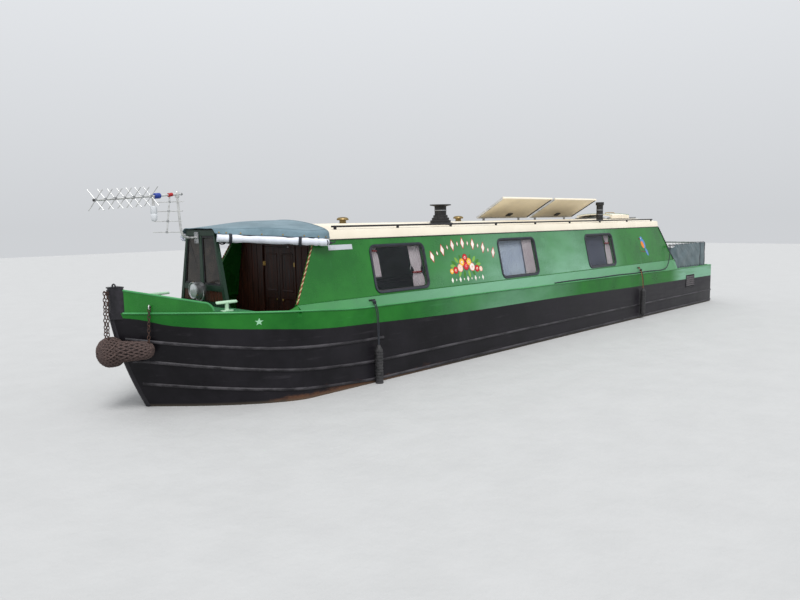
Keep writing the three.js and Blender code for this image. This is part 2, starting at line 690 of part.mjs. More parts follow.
function cratchBoard() {
  const low = sheer(CRATCH.x + CRATCH.thick) + 9 + GAP;
  const outline = [[-CRATCH.lowHalf, low], [CRATCH.lowHalf, low], [CRATCH.topHalf, CRATCH.topZ], [-CRATCH.topHalf, CRATCH.topZ]];
  return prism(outline, 'x', CRATCH.x, CRATCH.x + CRATCH.thick);
}

function cratchRidge() {
  const profile = [
    [CRATCH.x - GAP, CRATCH.topZ - 120], [CRATCH.x - GAP, CRATCH.topZ],
    [4760, DRAFT + 1840], [ROOF_FRONT_X + 5, DRAFT + 1858], [ROOF_FRONT_X + 5, DRAFT + 1758],
    [4760, DRAFT + 1740],
  ];
  return prism(profile, 'y', -22, 22);
}

// The canopy over the well deck. Each station holds X and the heights above water of four points
// from the ridge to the lower edge, with their distances from the middle
const CANOPY = [
  { x: 5335, points: [[0, 1805], [170, 1800], [285, 1798], [338, 1752]] },
  { x: 5180, points: [[0, 1825], [210, 1818], [350, 1792], [408, 1738]] },
  { x: 4800, points: [[0, 1866], [300, 1842], [520, 1796], [582, 1714]] },
  { x: 4450, points: [[0, 1884], [400, 1852], [765, 1782], [822, 1688]] },
  { x: 4235, points: [[0, 1884], [420, 1855], [815, 1775], [846, 1672]] },
];
const CLOTH = 8;

function cratchCanopy() {
  const rings = CANOPY.map(({ x, points }) => {
    const port = points.map(([y, z]) => [x, y, DRAFT + z]);
    const starboard = points.slice(1).reverse().map(([y, z]) => [x, -y, DRAFT + z]);
    const outer = [...starboard, ...port];
    const inner = outer.map(([px, py, pz]) => [px, py * (1 - CLOTH / 850), pz - CLOTH]).reverse();
    return [...outer, ...inner];
  });
  return loft(rings);
}

// The rolled side curtain under the canopy's lower edge
function curtainRoll() {
  const radius = 46;
  const drop = CLOTH + radius + 1.2;
  const path = [
    [5325, 352, 1752], [4800, 600, 1714], [4500, 838, 1692], [4400, 868, 1684], [4230, 880, 1672],
  ];
  return tube(path.map(([x, y, z]) => [x, y, DRAFT + z - drop]), radius, 10, 12);
}

// The television aerial on its bent pole, clamped to the cratch board. The boom points forward, a little
// to port and slightly down, and a place on it is a distance along it, to its left and above it
const AERIAL = { x: 5525, y: -60, z: DRAFT + 2155, turn: Math.PI / 9, fall: 0.075 };

function onAerial(along, left, up) {
  const { x, y, z, turn, fall } = AERIAL;
  return [
    x + along * Math.cos(turn) - left * Math.sin(turn),
    y + along * Math.sin(turn) + left * Math.cos(turn),
    z - fall * along + up,
  ];
}

function aerial() {
  const { x, y, z } = AERIAL;
  const foot = CRATCH.x + CRATCH.thick;
  const low = DRAFT + 1700;
  const pole = tube([
    [foot + 4, y, low], [foot + 90, y, low], [foot + 150, y, low + 20], [foot + 178, y, low + 75],
    [foot + 190, y, low + 200], [x, y, z + 20],
  ], 13, 20);
  const plate = box(foot + GAP, foot + 8, y - 40, y + 40, low - 60, low + 60);
  const boom = rod(onAerial(-65, 0, 0), onAerial(1080, 0, 0), 11, 8);
  const clamp = rod(onAerial(-30, 0, 0), onAerial(30, 0, 0), 24, 8);
  const directors = range(370, 1060, 6).flatMap((along) => [-1, 1].map(
    (lean) => rod(onAerial(along, -95 * lean, -95), onAerial(along, 95 * lean, 95), 4, 4),
  ));
  const dipole = rod(onAerial(255, 0, 0), onAerial(320, 0, 0), 28, 8);
  const neck = rod(onAerial(345, 0, 0), onAerial(345, 0, -110), 15, 8);
  const housing = rod(onAerial(345, 0, -250), onAerial(345, 0, -100), 33, 10, 22);
  const spine = rod(onAerial(105, 0, 10), onAerial(178, 0, -385), 8, 6);
  const reflectors = [-70, -165, -265, -375].map((up) => {
    const along = 115 - 0.2 * (up + 70);
    return rod(onAerial(along, -185, up), onAerial(along, 185, up), 5, 6);
  });
  return join([pole, plate, boom, clamp, dipole, neck, housing, spine, ...directors, ...reflectors]);
}

// A round flue on the roof, from a short table of radius and height above its seat
function flue(x, y, profile) {
  const points = [[0, 0], ...profile, [0, profile[profile.length - 1][1]]];
  const lathe = new THREE.LatheGeometry(points.map(([r, z]) => new THREE.Vector2(r, z)), 20);
  lathe.rotateX(Math.PI / 2);
  lathe.translate(x, y, 0);
  return solidOf(outward(stripped(mergeVertices(stripped(lathe), 1e-3))));
}

const STOVE_FLUE = { x: 1960, y: 480 };
const STOVE_PROFILE = [
  [165, 0], [165, 34], [140, 34], [140, 68], [118, 68], [118, 102], [98, 102], [98, 136], [80, 136],
  [80, 255], [145, 268], [145, 280],
];
const REAR_FLUE = { x: -2480, y: 450 };
const REAR_PROFILE = [[85, 0], [85, 12], [58, 22], [58, 270], [72, 278], [72, 330]];

// Seats a flue on the cambered roof by cutting its foot to the roof's own shape
function seatedFlue(place, profile) {
  const lowest = roofZ(place.y + profile[0][0]) - 2;
  const solid = flue(place.x, place.y, profile).translate([0, 0, lowest]);
  return solid.subtract(roofSkin(place.x - 300, place.x + 300));
}

// Bow studs, tunnel lamp and the rope fender on the stem
function bowStud() {
  const [x, y] = [5460, 700];
  const z = sheer(x) + 10;
  const base = box(x - 60, x + 60, y - 34, y + 34, z - 4, z + 8);
  const post = rod([x, y, z + 4], [x, y, z + 84], 20);
  const head = box(x - 120, x + 120, y - 32, y + 32, z + 82, z + 94);
  return join([base.subtract(foredeck().translate([0, 0, 2 * GAP])), post, head]);
}

function tunnelLamp() {
  const [x, y, z] = [5400, 70, DRAFT + 1150];
  const deck = sheer(x) + 10;
  const barrel = rod([x - 55, y, z], [x + 75, y, z], 88, 20);
  const stem = box(x - 12, x + 12, y - 12, y + 12, deck, z);
  const foot = box(x - 45, x + 45, y - 45, y + 45, deck - 3, deck + 8);
  return join([barrel, stem, foot.subtract(foredeck().translate([0, 0, GAP]))]);
}

function foredeck() {
  const xs = [WELL_FRONT_X, 5450, 5650, 5850, 6000, 6100, 6190];
  const rings = xs.map((x) => {
    const half = halfBreadth(x, sheer(x)) - 45;
    const z = sheer(x);
    return [[x, -half, z + 0.8], [x, half, z + 0.8], [x, half, z + 9], [x, -half, z + 9]];
  });
  return loft(rings);
}

// The fender: a fat rope button ahead of the stem, with a tapering arm along each bow
const BUTTON = { x: 6345, z: DRAFT + 610, radius: 142 };

function stemFender() {
  const profile = [[0, -105], [95, -100], [138, -60], [145, 0], [128, 62], [82, 105], [0, 120]];
  const lathe = new THREE.LatheGeometry(profile.map(([r, x]) => new THREE.Vector2(r, x)), 18);
  lathe.rotateZ(-Math.PI / 2);
  lathe.translate(BUTTON.x, 0, BUTTON.z);
  const button = solidOf(outward(mergeVertices(stripped(lathe), 1e-3)));
  const arms = [-1, 1].map((side) => rod(
    [BUTTON.x - 20, side * 40, BUTTON.z + 5], [6075, side * 315, BUTTON.z + 22], 100, 14, 78,
  ));
  const bow = hullBow();
  const cuts = [bow.translate([1, 0, 0]), bow.translate([0.5, 0.8, 0]), bow.translate([0.5, -0.8, 0])];
  return cuts.reduce((fender, cut) => fender.subtract(cut), join([button, ...arms]));
}

// A chain of oval links hung between two points, each link turned a quarter from the last
const LINK = { ring: 17, bar: 5, pitch: 36, bite: 1.2 };

function chain(from, to) {
  const start = new THREE.Vector3(...from);
  const end = new THREE.Vector3(...to);
  const length = start.distanceTo(end);
  const count = Math.round(length / LINK.pitch);
  const stretch = (length / count - LINK.bite) / 2 / (LINK.ring - LINK.bar);
  const turn = new THREE.Quaternion().setFromUnitVectors(
    new THREE.Vector3(0, 1, 0), end.clone().sub(start).normalize(),
  );
  const links = range(0.5 / count, 1 - 0.5 / count, count - 1).map((share, i) => {
    const link = new THREE.TorusGeometry(LINK.ring, LINK.bar, 4, 8);
    link.scale(1, stretch, 1);
    link.rotateY((i % 2) * Math.PI / 2);
    link.applyQuaternion(turn);
    link.translate(...start.clone().lerp(end, share).toArray());
    return solidOf(link);
  });
  return join(links);
}

// Two strands from the stem head down to the fender's button
const STEM_CHAIN = { x: 6357, y: 32, z: STEM_TOP_Z - 40, footX: 6375, footZ: BUTTON.z + 138 };

function stemChain() {
  const { x, y, z, footX, footZ } = STEM_CHAIN;
  const plate = box(6330 + GAP, x - 4, -28, 28, z - 30, z + 22);
  const pin = rod([x, -y - 16, z], [x, y + 16, z], 7, 8);
  const foot = rod([footX, -y - 16, footZ], [footX, y + 16, footZ], 7, 8);
  const strands = [-y, y].map((side) => chain([x, side, z], [footX, side, footZ]));
  return join([plate, pin, foot, ...strands]).subtract(stemFender().translate([0, 0, GAP]));
}

// One strand from an eye on the bulwark down to the fender's arm
const SIDE_CHAIN = { eye: [6087, 332, 1553], inner: [6057, 303, 1553], foot: [6100, 308, 1211] };

function sideChain(side) {
  const { eye, inner, foot } = SIDE_CHAIN;
  const pin = rod(inner, [eye[0] + 8, eye[1] + 8, eye[2]], 8, 8);
  const strand = chain(eye, foot);
  const end = rod([foot[0] - 16, foot[1], foot[2]], [foot[0] + 16, foot[1], foot[2]], 7, 8);
  const port = join([pin, strand, end]);
  const bow = hullBow().translate([GAP, side * GAP, 0]);
  return (side > 0 ? port : mirrored(port)).subtract(bow).subtract(stemFender().translate([0, 0, GAP]));
}

// The rail round the stern deck: straight sides, a bend at each quarter and stanchions on feet on the rim
const RAIL = { z: DRAFT + 1275, y: HALF_BEAM - 80, radius: 16, bend: 130, front: -4340, rear: -6250 };
const STANCHION_XS = [-4650, -5180, -5710, -6090];

function sternRail() {
  const [cx, cy] = [RAIL.rear + RAIL.bend, RAIL.y - RAIL.bend];
  const arc = range(0, 90, 8).map((degrees) => {
    const a = (degrees * Math.PI) / 180;
    return [cx - RAIL.bend * Math.sin(a), cy + RAIL.bend * Math.cos(a), RAIL.z];
  });
  const bend = tube([[cx + 25, RAIL.y, RAIL.z], ...arc, [RAIL.rear, cy - 25, RAIL.z]], RAIL.radius, 16, 12);
  const along = rod([RAIL.front, RAIL.y, RAIL.z], [cx, RAIL.y, RAIL.z], RAIL.radius, 12);
  const across = rod([RAIL.rear, cy, RAIL.z], [RAIL.rear, -cy, RAIL.z], RAIL.radius, 12);
  const posts = STANCHION_XS.map((x) => {
    const ground = sheer(x) + 2 * GAP;
    const post = rod([x, RAIL.y, ground], [x, RAIL.y, RAIL.z], 13, 8);
    const foot = box(x - 22, x + 22, RAIL.y - 16, HALF_BEAM - 20, ground, ground + 7);
    return join([post, foot]);
  });
  const side = join([along, bend, ...posts]);
  return join([side, across, mirrored(side)]);
}

// A canvas dodger hung outside the rail; its front edge follows the rake of the cabin's end
const DODGER = { thick: 6, gap: 0.4, over: 18, rear: -6080, front: [[-4612, sheer(-4612) + 12], [-4606, DRAFT + 975]] };

function dodger() {
  const inner = RAIL.y + RAIL.radius + DODGER.gap;
  const top = RAIL.z + DODGER.over;
  const outline = [...DODGER.front, [-4385, top], [DODGER.rear, top], [DODGER.rear, sheer(DODGER.rear) + 12]];
  return prism(outline, 'y', inner, inner + DODGER.thick);
}

// The stern deck, with the hole that the rudder stock comes up through and the engine hatch's opening
const LID = { front: -4700, rear: -5290, half: 300, ledge: 15, barrel: 6 };
const LID_AXIS_Z = DECK_Z + LID.barrel + 1;

function sternDeck() {
  const xs = [BAY.front - 0.5, -6320, -6366, -6410, -6438];
  const plate = prism(planOutline(counterHalf, xs, 61), 'z', DECK_Z - PLATE + GAP, DECK_Z);
  const c = DOOR_CLEAR;
  const hole = box(LID.rear - c, LID.front - 1, -LID.half - c, LID.half + c, DECK_Z - PLATE - GAP, DECK_Z + 20);
  const well = box(LID.rear + 15, LID.front - 20, 15 - LID.half, LID.half - 15, DECK_Z - 60, DECK_Z + 20);
  const frame = box(LID.rear - 25, LID.front + 20, -LID.half - 25, LID.half + 25, DECK_Z - 40, DECK_Z - 3);
  const barrels = LID_BARRELS.map((y) => lidBarrel(y, y + 39, LID.front, LID.front + 22));
  const bore = rod([STOCK_X, 0, DECK_Z - 50], [STOCK_X, 0, DECK_Z + 20], 26, 20);
  return join([join([plate, frame]).subtract(hole).subtract(well), ...barrels]).subtract(bore);
}

// Hinge barrels of the engine hatch: one on the deck beside each on the lid
const LID_BARRELS = [-240, 200];

function lidBarrel(y0, y1, x0, x1) {
  const pin = rod([LID.front, y0, LID_AXIS_Z], [LID.front, y1, LID_AXIS_Z], LID.barrel, 12);
  return pin.add(box(x0, x1, y0, y1, DECK_Z - 2, DECK_Z + 4));
}

function deckLid() {
  const plate = box(LID.rear, LID.front - 2, -LID.half, LID.half, DECK_Z - PLATE, DECK_Z);
  const barrels = LID_BARRELS.map((y) => lidBarrel(y + 40, y + 79, LID.front - 24, LID.front - 2));
  return join([plate, ...barrels]);
}

// Rudder blade and stock, and the tiller on top of it
const RUDDER = { front: STOCK_X + 85, rear: STOCK_X - 275, low: 52, high: COUNTER_Z - 30 };

function rudder() {
  const blade = box(RUDDER.rear, RUDDER.front, -7, 7, RUDDER.low, RUDDER.high);
  const stock = rod([STOCK_X, 0, 30 + GAP], [STOCK_X, 0, DECK_Z + 60], 19, 16);
  return join([blade, stock]);
}

function tiller() {
  const z = DECK_Z + 60 + GAP;
  const neck = tube([
    [STOCK_X, 0, z], [STOCK_X, 0, z + 210], [STOCK_X + 10, 0, z + 330],
    [STOCK_X + 90, 0, z + 405], [STOCK_X + 230, 0, z + 425], [STOCK_X + 420, 0, z + 440],
  ], 17, 26, 10);
  const arm = rod([STOCK_X + 400, 0, z + 438], [STOCK_X + 760, 0, z + 468], 14);
  const grip = rod([STOCK_X + 740, 0, z + 466], [STOCK_X + 900, 0, z + 480], 19, 12, 22);
  return join([neck, arm, grip]);
}

// The propeller: three twisted blades on a hub
const PROP = { x: -5840, radius: 185, hub: 34, blades: 3 };

function propeller() {
  const hub = rod([SWIM_END_X - 45 - GAP, 0, 0], [PROP.x - 45, 0, 0], PROP.hub, 16);
  const nose = rod([PROP.x - 44, 0, 0], [PROP.x - 74, 0, 0], PROP.hub - 4, 16, 12);
  const sections = [[20, 58, 62], [90, 80, 42], [150, 66, 30], [PROP.radius, 26, 24]];
  const rings = sections.map(([radius, chord, pitch]) => {
    const a = (pitch * Math.PI) / 180;
    const along = [Math.sin(a), Math.cos(a)];
    return [[-chord, 0], [0, 4], [chord, 0], [0, -4]].map(([u, v]) => [
      u * along[0] * 0.6 + v * along[1], u * along[1] - v * along[0], radius,
    ]);
  });
  const blade = loft(rings).translate([PROP.x, 0, 0]);
  const blades = range(0, 360, PROP.blades).slice(0, -1).map((angle) => blade.rotate([angle, 0, 0]));
  return join([hub, nose, ...blades]).translate([0, 0, SHAFT_Z]);
}

function sternTube() {
  return join([
    rod([SWIM_END_X - GAP, 0, SHAFT_Z], [SWIM_END_X - 45, 0, SHAFT_Z], 30, 16),
    rod([SWIM_END_X - GAP, 0, SHAFT_Z], [SWIM_END_X - 22, 0, SHAFT_Z], 44, 6),
  ]);
}

// Side fenders: each hangs on its lanyard from a cleat on the gunwale, by place and lower end
const SIDE_FENDERS = [
  { name: 'side_fender_fore', x: 3750, low: DRAFT - 85, length: 530 },
  { name: 'side_fender_aft', x: -2950, low: DRAFT + 40, length: 520 },
];

// A point held off the sloped gunwale: share runs from the hull's edge to the cabin's foot
function onGunwale(x, share, off) {
  const rise = CABIN_BASE_Z - sheer(x);
  const run = HALF_BEAM - CABIN_BASE_Y - 3;
  const slope = Math.hypot(rise, run);
  return [x, HALF_BEAM - share * run + (off * rise) / slope, sheer(x) + share * rise + (off * run) / slope];
}

function sideFender({ x, low, length }) {
  const radius = 46;
  const y = HALF_BEAM + STRAKE.proud + radius + GAP;
  const edge = sheer(x);
  const body = rod([x, y, low], [x, y, low + length], radius, 14);
  const cleat = rod(onGunwale(x - 40, 0.62, 8.4), onGunwale(x + 40, 0.62, 8.4), 8, 8);
  const lanyard = tube([
    [x, y, low + length - 20], [x, y - 6, edge - 120], [x, HALF_BEAM + 34, edge - 10],
    onGunwale(x, 0.2, 33), onGunwale(x, 0.45, 26), onGunwale(x, 0.62, 10),
  ], 8, 14, 6);
  return join([body, cleat, lanyard]);
}

// The line along the port gunwale, and from its end up to the front of the stern rail
const LINE_XS = [-60, -700, -1400, -2100, -2700, -3300, -3800];

function gunwaleLine() {
  const radius = 9;
  const points = [
    ...LINE_XS.map((x, i) => onGunwale(x, 0.1 + 0.04 * (i % 2), radius + 0.1)),
    [-4050, 1024, DRAFT + 860], [-4200, 1006, DRAFT + 950], [-4280, 990, DRAFT + 1080],
    [-4325, 978, DRAFT + 1200], [-4350, RAIL.y + RAIL.radius + radius + 1, RAIL.z - 4],
  ];
  return tube(points, radius, 44, 6);
}

function engineBlock() {
  return box(-5150, -4450, -255, 255, BAY.floor + GAP, 760);
}

function cabinFloor() {
  const half = HALF_BEAM - WALL - 0.5;
  const xs = [FULL_BEAM_X, BOW_SPLIT_X - 1];
  const inner = (x) => Math.min(half, halfBreadth(x, PLATE) - WALL);
  return prism(planOutline(inner, [STERN_SPLIT_X + 1, ...xs]), 'z', PLATE + 0.5, FLOOR_Z);
}

function wellDeckFloor() {
  const xs = [FRONT_WALL.front + 0.5, ...WELL_XS.slice(0, -1), WELL_FRONT_X - 0.5];
  const inner = (x) => halfBreadth(x, WELL_FLOOR_Z) - WALL - 0.6;
  return prism(planOutline(inner, xs), 'z', WELL_FLOOR_Z + 0.5, WELL_FLOOR_Z + 15);
}

addPiece('baseplate', baseplate(), HULL_BLACK);
addPiece('hull_bow', hullBow(), HULL_BLACK);
addBothSides('hull_side', hullSide(), HULL_BLACK);
addPiece('hull_stern', hullStern(), HULL_BLACK);
addPiece('foredeck', foredeck(), GREEN);
addPiece('well_deck_floor', wellDeckFloor(), WOOD);
addPiece('cabin_floor', cabinFloor(), WOOD);
addPiece('stern_deck', sternDeck(), GREEN);
addPiece('deck_lid', deckLid(), GREEN);
addPiece('engine_block', engineBlock(), STEEL);
addBothSides('cabin_side', cabinSide(), GREEN);
WINDOW_FRONTS.forEach((front, i) => {
  addPiece(`window_port_${i + 1}`, cabinWindow(front), GLASS);
  addPiece(`window_starboard_${i + 1}`, mirrored(cabinWindow(front)), GLASS);
});
addPiece('cabin_roof', cabinRoof(), CREAM);
addPiece('front_bulkhead', frontBulkhead(), WOOD);
addPiece('rear_bulkhead', rearBulkhead(), GREEN);
addBothSides('front_door', doorLeaf(FRONT_WALL.front, 1, FRONT_DOOR), WOOD);
addBothSides('rear_door', doorLeaf(REAR_WALL.rear, -1, REAR_DOOR), WOOD);
addPiece('rear_hatch', rearHatch(), CREAM);
addBothSides('handrail', handrail(), RUBBER);
addPiece('cratch_board', cratchBoard(), WOOD);
addPiece('cratch_ridge', cratchRidge(), WOOD);
addPiece('cratch_canopy', cratchCanopy(), CANVAS);
addBothSides('curtain_roll', curtainRoll(), CANVAS);
addPiece('aerial', aerial(), STEEL);
addPiece('stove_flue', seatedFlue(STOVE_FLUE, STOVE_PROFILE), RUBBER);
addPiece('rear_flue', seatedFlue(REAR_FLUE, REAR_PROFILE), RUBBER);
for (const panel of PANELS) {
  addPiece(`solar_panel_${panel.name}`, solarPanel(panel), CREAM);
}
addBothSides('bow_stud', bowStud(), GREEN);
addPiece('tunnel_lamp', tunnelLamp(), STEEL);
addPiece('stem_fender', stemFender(), ROPE);
addPiece('stem_chain', stemChain(), STEEL);
addPiece('side_chain_port', sideChain(1), STEEL);
addPiece('side_chain_starboard', sideChain(-1), STEEL);
addPiece('stern_rail', sternRail(), STEEL);
addBothSides('dodger', dodger(), CANVAS);
addPiece('rudder', rudder(), HULL_BLACK);
addPiece('tiller', tiller(), BRONZE);
addPiece('propeller', propeller(), BRONZE);
addPiece('stern_tube', sternTube(), BRONZE);
for (const fender of SIDE_FENDERS) {
  addPiece(fender.name, sideFender(fender), RUBBER);
}
addPiece('gunwale_line', gunwaleLine(), RUBBER);

export default boat;
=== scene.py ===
# The looks of a narrowboat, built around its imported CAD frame.
# Metres. +X runs forward to the bow, +Y to port and +Z up.

import math

import bmesh
import bpy
from mathutils import Matrix, Vector


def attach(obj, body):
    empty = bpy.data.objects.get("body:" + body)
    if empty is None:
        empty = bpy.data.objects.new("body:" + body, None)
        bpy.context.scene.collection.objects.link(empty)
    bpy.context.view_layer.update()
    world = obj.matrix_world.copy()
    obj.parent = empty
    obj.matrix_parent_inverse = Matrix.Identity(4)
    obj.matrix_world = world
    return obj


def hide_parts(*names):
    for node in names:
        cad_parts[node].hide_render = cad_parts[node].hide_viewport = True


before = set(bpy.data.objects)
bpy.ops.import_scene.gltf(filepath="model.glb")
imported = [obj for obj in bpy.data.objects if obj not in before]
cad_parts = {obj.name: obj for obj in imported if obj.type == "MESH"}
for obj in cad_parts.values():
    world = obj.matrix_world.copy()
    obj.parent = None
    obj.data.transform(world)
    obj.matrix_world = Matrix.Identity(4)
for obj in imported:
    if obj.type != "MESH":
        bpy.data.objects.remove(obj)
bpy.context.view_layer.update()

SIDES = {1: "port", -1: "starboard"}

# Hull
BOW_X = 6.335
STERN_X = -6.5
HALF_BEAM = 1.025
DRAFT = 0.5
LOW_Z = 0.0123
STEM_TOP_Z = 1.74
STEM_HALF = 0.03
FULL_BEAM_X = 4.7
BOW_SPLIT_X = 4.78
STERN_SPLIT_X = -4.08
SIDE_FRONT_X = BOW_SPLIT_X - 0.0003
SIDE_REAR_X = STERN_SPLIT_X + 0.0003
WALL = 0.07
COUNTER_Z = 0.47
COUNTER_RADIUS = 0.18
SWIM_END_X = -5.75
BULWARK_X = 5.68
BULWARK_Z = 1.58
DECK_Z = 1.25
DECK_UNDER_Z = 1.2375
DECK_END_X = 6.29
WELL_FLOOR_Z = 0.75
WELL_FRONT_X = 5.25
# The engine bay: front, rear, floor and the ledge beside the swim
BAY = (-4.14, -5.35, 0.07, 0.52)
# Rear, front, lower and upper edge of the engine bay's air vent
VENT = (-5.435, -5.02, 0.895, 1.15)
# Rubbing strakes: height above water aft, rise towards the stem, its power, and where they start and end
STRAKES = (
    {"low": 0.51, "rise": 0.24, "power": 2.0, "start": 0.0, "end": 3.615},
    {"low": 0.25, "rise": 0.25, "power": 1.7, "start": 0.25, "end": STERN_X},
    {"low": 0.04, "rise": 0.22, "power": 1.4, "start": 0.25, "end": STERN_X},
)
STRAKE_REACH = 2.7
STRAKE_HALF = 0.018
STRAKE_SUNK = 0.006
STAR_AT = (5.228, 1.363)

# Cabin
CABIN_BASE_Z = 1.49
CABIN_BASE_Y = 0.948
CABIN_TOP_Z = 2.145
CABIN_LEAN = 0.2168
CABIN_FRONT_X = 4.765
CABIN_REAR_X = -4.555
FRONT_RAKE = 0.35
REAR_RAKE = 0.42
FLANGE_Y = 0.905
LINING_Y = 0.951
SIDE_NORMAL = Vector((0, 1, CABIN_LEAN)).normalized()
WINDOW_FRONTS = (3.635, 1.162, -1.263)
WINDOW_WIDTH = 0.937
WINDOW_LOW = 1.512
WINDOW_HIGH = 2.071
WINDOW_CORNER = 0.085
# Sections of the window's frame and seal: distance in from its outline, height off the cabin side
FRAME_PROFILE = (
    (-0.004, 0.0005), (-0.004, 0.007), (-0.001, 0.0115), (0.016, 0.0115), (0.022, 0.008), (0.0245, 0.001),
    (0.0245, -0.019),
)
SEAL_PROFILE = ((0.024, 0.0), (0.025, 0.0035), (0.033, 0.0025), (0.036, -0.006))
# Curtains: distance from the window's front edge, width, lower end, depth behind the glass, share of the tie
CURTAINS = (
    {"window": 0, "start": 0.03, "width": 0.15, "low": 1.70, "depth": 0.05, "tie": 0.12, "cloth": "lace"},
    {"window": 0, "start": 0.70, "width": 0.21, "low": 1.53, "depth": 0.05, "tie": 0.60, "cloth": "lace"},
    {"window": 1, "start": 0.02, "width": 0.90, "low": 1.52, "depth": 0.06, "tie": None, "cloth": "net"},
    {"window": 1, "start": 0.64, "width": 0.26, "low": 1.52, "depth": 0.032, "tie": None, "cloth": "lace"},
    {"window": 2, "start": 0.03, "width": 0.68, "low": 1.52, "depth": 0.06, "tie": None, "cloth": "blind"},
    {"window": 2, "start": 0.72, "width": 0.19, "low": 1.52, "depth": 0.05, "tie": 0.25, "cloth": "lace"},
)
# A mound of roses: X, height, radius, colours from the rim inwards
SPRAY = (
    (1.93, 1.845, 0.050, ("rose_dark", "rose_red", "rose_pale")),
    (1.86, 1.785, 0.052, ("orange", "yellow", "rose_pale")),
    (2.005, 1.785, 0.052, ("orange", "yellow", "white")),
    (1.93, 1.735, 0.060, ("rose_dark", "rose_red", "rose_pink")),
    (2.055, 1.715, 0.055, ("rose_pink", "rose_pale", "white")),
    (1.805, 1.715, 0.055, ("rose_pink", "white", "rose_pale")),
    (2.155, 1.690, 0.048, ("rose_dark", "rose_red", "rose_pale")),
    (1.705, 1.690, 0.048, ("rose_dark", "rose_red", "rose_pale")),
    (2.235, 1.680, 0.036, ("orange", "yellow", "white")),
    (1.625, 1.680, 0.036, ("rose_pink", "rose_pale", "white")),
)
ROSES_AT = (1.93, 1.735)
# The arch of lozenges: front end, length, height of its feet, rise
ARCH = (2.57, 1.28, 1.885, 0.15)
BIRD_AT = (-3.36, 1.85)
# The plate: front, rear, lower and upper edge
PLATE = (4.24, 3.89, 2.034, 2.09)
BULKHEAD_X = 4.3
# Doors: their face, which way is out, lower and upper end, material
DOORS = {"front": (BULKHEAD_X, 1, 0.82, 2.06, "wood"), "rear": (-4.135, -1, 1.295, 2.245, "green")}
DOOR_EDGES = (0.0025, 0.306)
DOOR_THICK = 0.03

# Roof
ROOF_FRONT_X = 4.3
ROOF_REAR_X = -4.14
ROOF_EDGE_Y = 0.784
ROOF_EDGE_Z = 2.255
ROOF_CROWN_Z = 2.325
ROOF_THICK = 0.05
ROOF_VENTS = (3.3, 1.0)
NOTCH_Y = 0.322
NOTCH_FRONT_X = -3.5
# The hatch's runners: rear end, front end, distance from the middle
RUNNERS = (-4.138, -2.99, 0.34)
RUNNER_TOP = 2.345
HATCH_REAR_X = -3.79
HATCH_FRONT_X = -3.09
HATCH_HALF = 0.372
PANEL_FRONTS = {"fore": 0.13, "aft": -1.38}
PANEL_LENGTH = 1.42
PANEL_WIDTH = 0.635
PANEL_AXIS = (-0.35, 2.372)
PANEL_TILT = math.radians(30)
PANEL_HINGES = (0.15, 0.85)
# Sections of the flues: radius, height
STOVE_PROFILE = (
    (0.162, 0.0), (0.165, 0.004), (0.165, 0.030), (0.161, 0.034), (0.140, 0.036), (0.140, 0.064),
    (0.136, 0.068), (0.118, 0.070), (0.118, 0.098), (0.114, 0.102), (0.098, 0.104), (0.098, 0.132),
    (0.094, 0.136), (0.080, 0.138), (0.080, 0.250), (0.086, 0.256), (0.143, 0.267), (0.145, 0.273),
    (0.143, 0.280),
)
REAR_PROFILE = (
    (0.082, 0.0), (0.085, 0.003), (0.085, 0.010), (0.066, 0.016), (0.058, 0.024), (0.058, 0.268),
    (0.064, 0.274), (0.072, 0.279), (0.072, 0.326), (0.069, 0.330),
)
# Flues: node, X, y, radius of the foot, section, bands as (radius, height)
FLUES = {
    "stove_chimney": ("stove_flue", 1.96, 0.48, 0.165, STOVE_PROFILE, ((0.080, 0.20),)),
    "rear_chimney": ("rear_flue", -2.48, 0.45, 0.085, REAR_PROFILE, ((0.058, 0.11), (0.058, 0.19))),
}
# Section of a roof vent: radius, height
VENT_PROFILE = (
    (0.0, 0.0), (0.05, 0.0), (0.05, 0.006), (0.042, 0.01), (0.042, 0.040), (0.075, 0.044), (0.078, 0.052),
    (0.070, 0.068), (0.052, 0.078), (0.025, 0.083), (0.0, 0.084),
)

# Bow
# Canopy: X, then (y, height above water) from the ridge to the hem
CANOPY = (
    (5.335, ((0.0, 1.805), (0.17, 1.800), (0.285, 1.798), (0.338, 1.752))),
    (5.18, ((0.0, 1.825), (0.21, 1.818), (0.35, 1.792), (0.408, 1.738))),
    (4.80, ((0.0, 1.866), (0.30, 1.842), (0.52, 1.796), (0.582, 1.714))),
    (4.45, ((0.0, 1.876), (0.38, 1.838), (0.745, 1.762), (0.822, 1.688))),
    (4.235, ((0.0, 1.878), (0.42, 1.846), (0.790, 1.764), (0.846, 1.672))),
)
# The rolled side curtain's line under the hem: X, y, height above water
ROLL = (
    (5.325, 0.352, 1.752), (4.8, 0.600, 1.714), (4.5, 0.838, 1.692), (4.4, 0.868, 1.684),
    (4.23, 0.880, 1.672),
)
ROLL_DROP = 0.0552
ROLL_RADIUS = 0.041
# The cratch board: middle of its thickness, top, sill of its panes, half width at the foot, and taper
BOARD_X = 5.3
BOARD_TOP_Z = 2.28
BOARD_SILL_Z = 1.70
BOARD_HALF = 0.48
BOARD_TAPER = 0.20
AERIAL_AT = (5.525, -0.06, 2.655)
AERIAL_YAW = math.radians(20)
LAMP_AT = (5.345, 0.07, 1.65)
LAMP_STEM_X = 5.4
STUD_AT = (5.46, 0.7)
# Rope fenders: radius, share of the length
BUTTON = (
    (0.02, 0.0), (0.095, 0.02), (0.138, 0.2), (0.145, 0.467), (0.128, 0.742), (0.082, 0.933), (0.02, 1.0),
)
ARM = ((0.096, 0.0), (0.098, 0.25), (0.092, 0.5), (0.086, 0.75), (0.076, 0.95), (0.045, 1.05), (0.015, 1.08))

# Sides and stern
LINE_XS = (-0.06, -0.7, -1.4, -2.1, -2.7, -3.3, -3.8)
LINE_RADIUS = 0.009
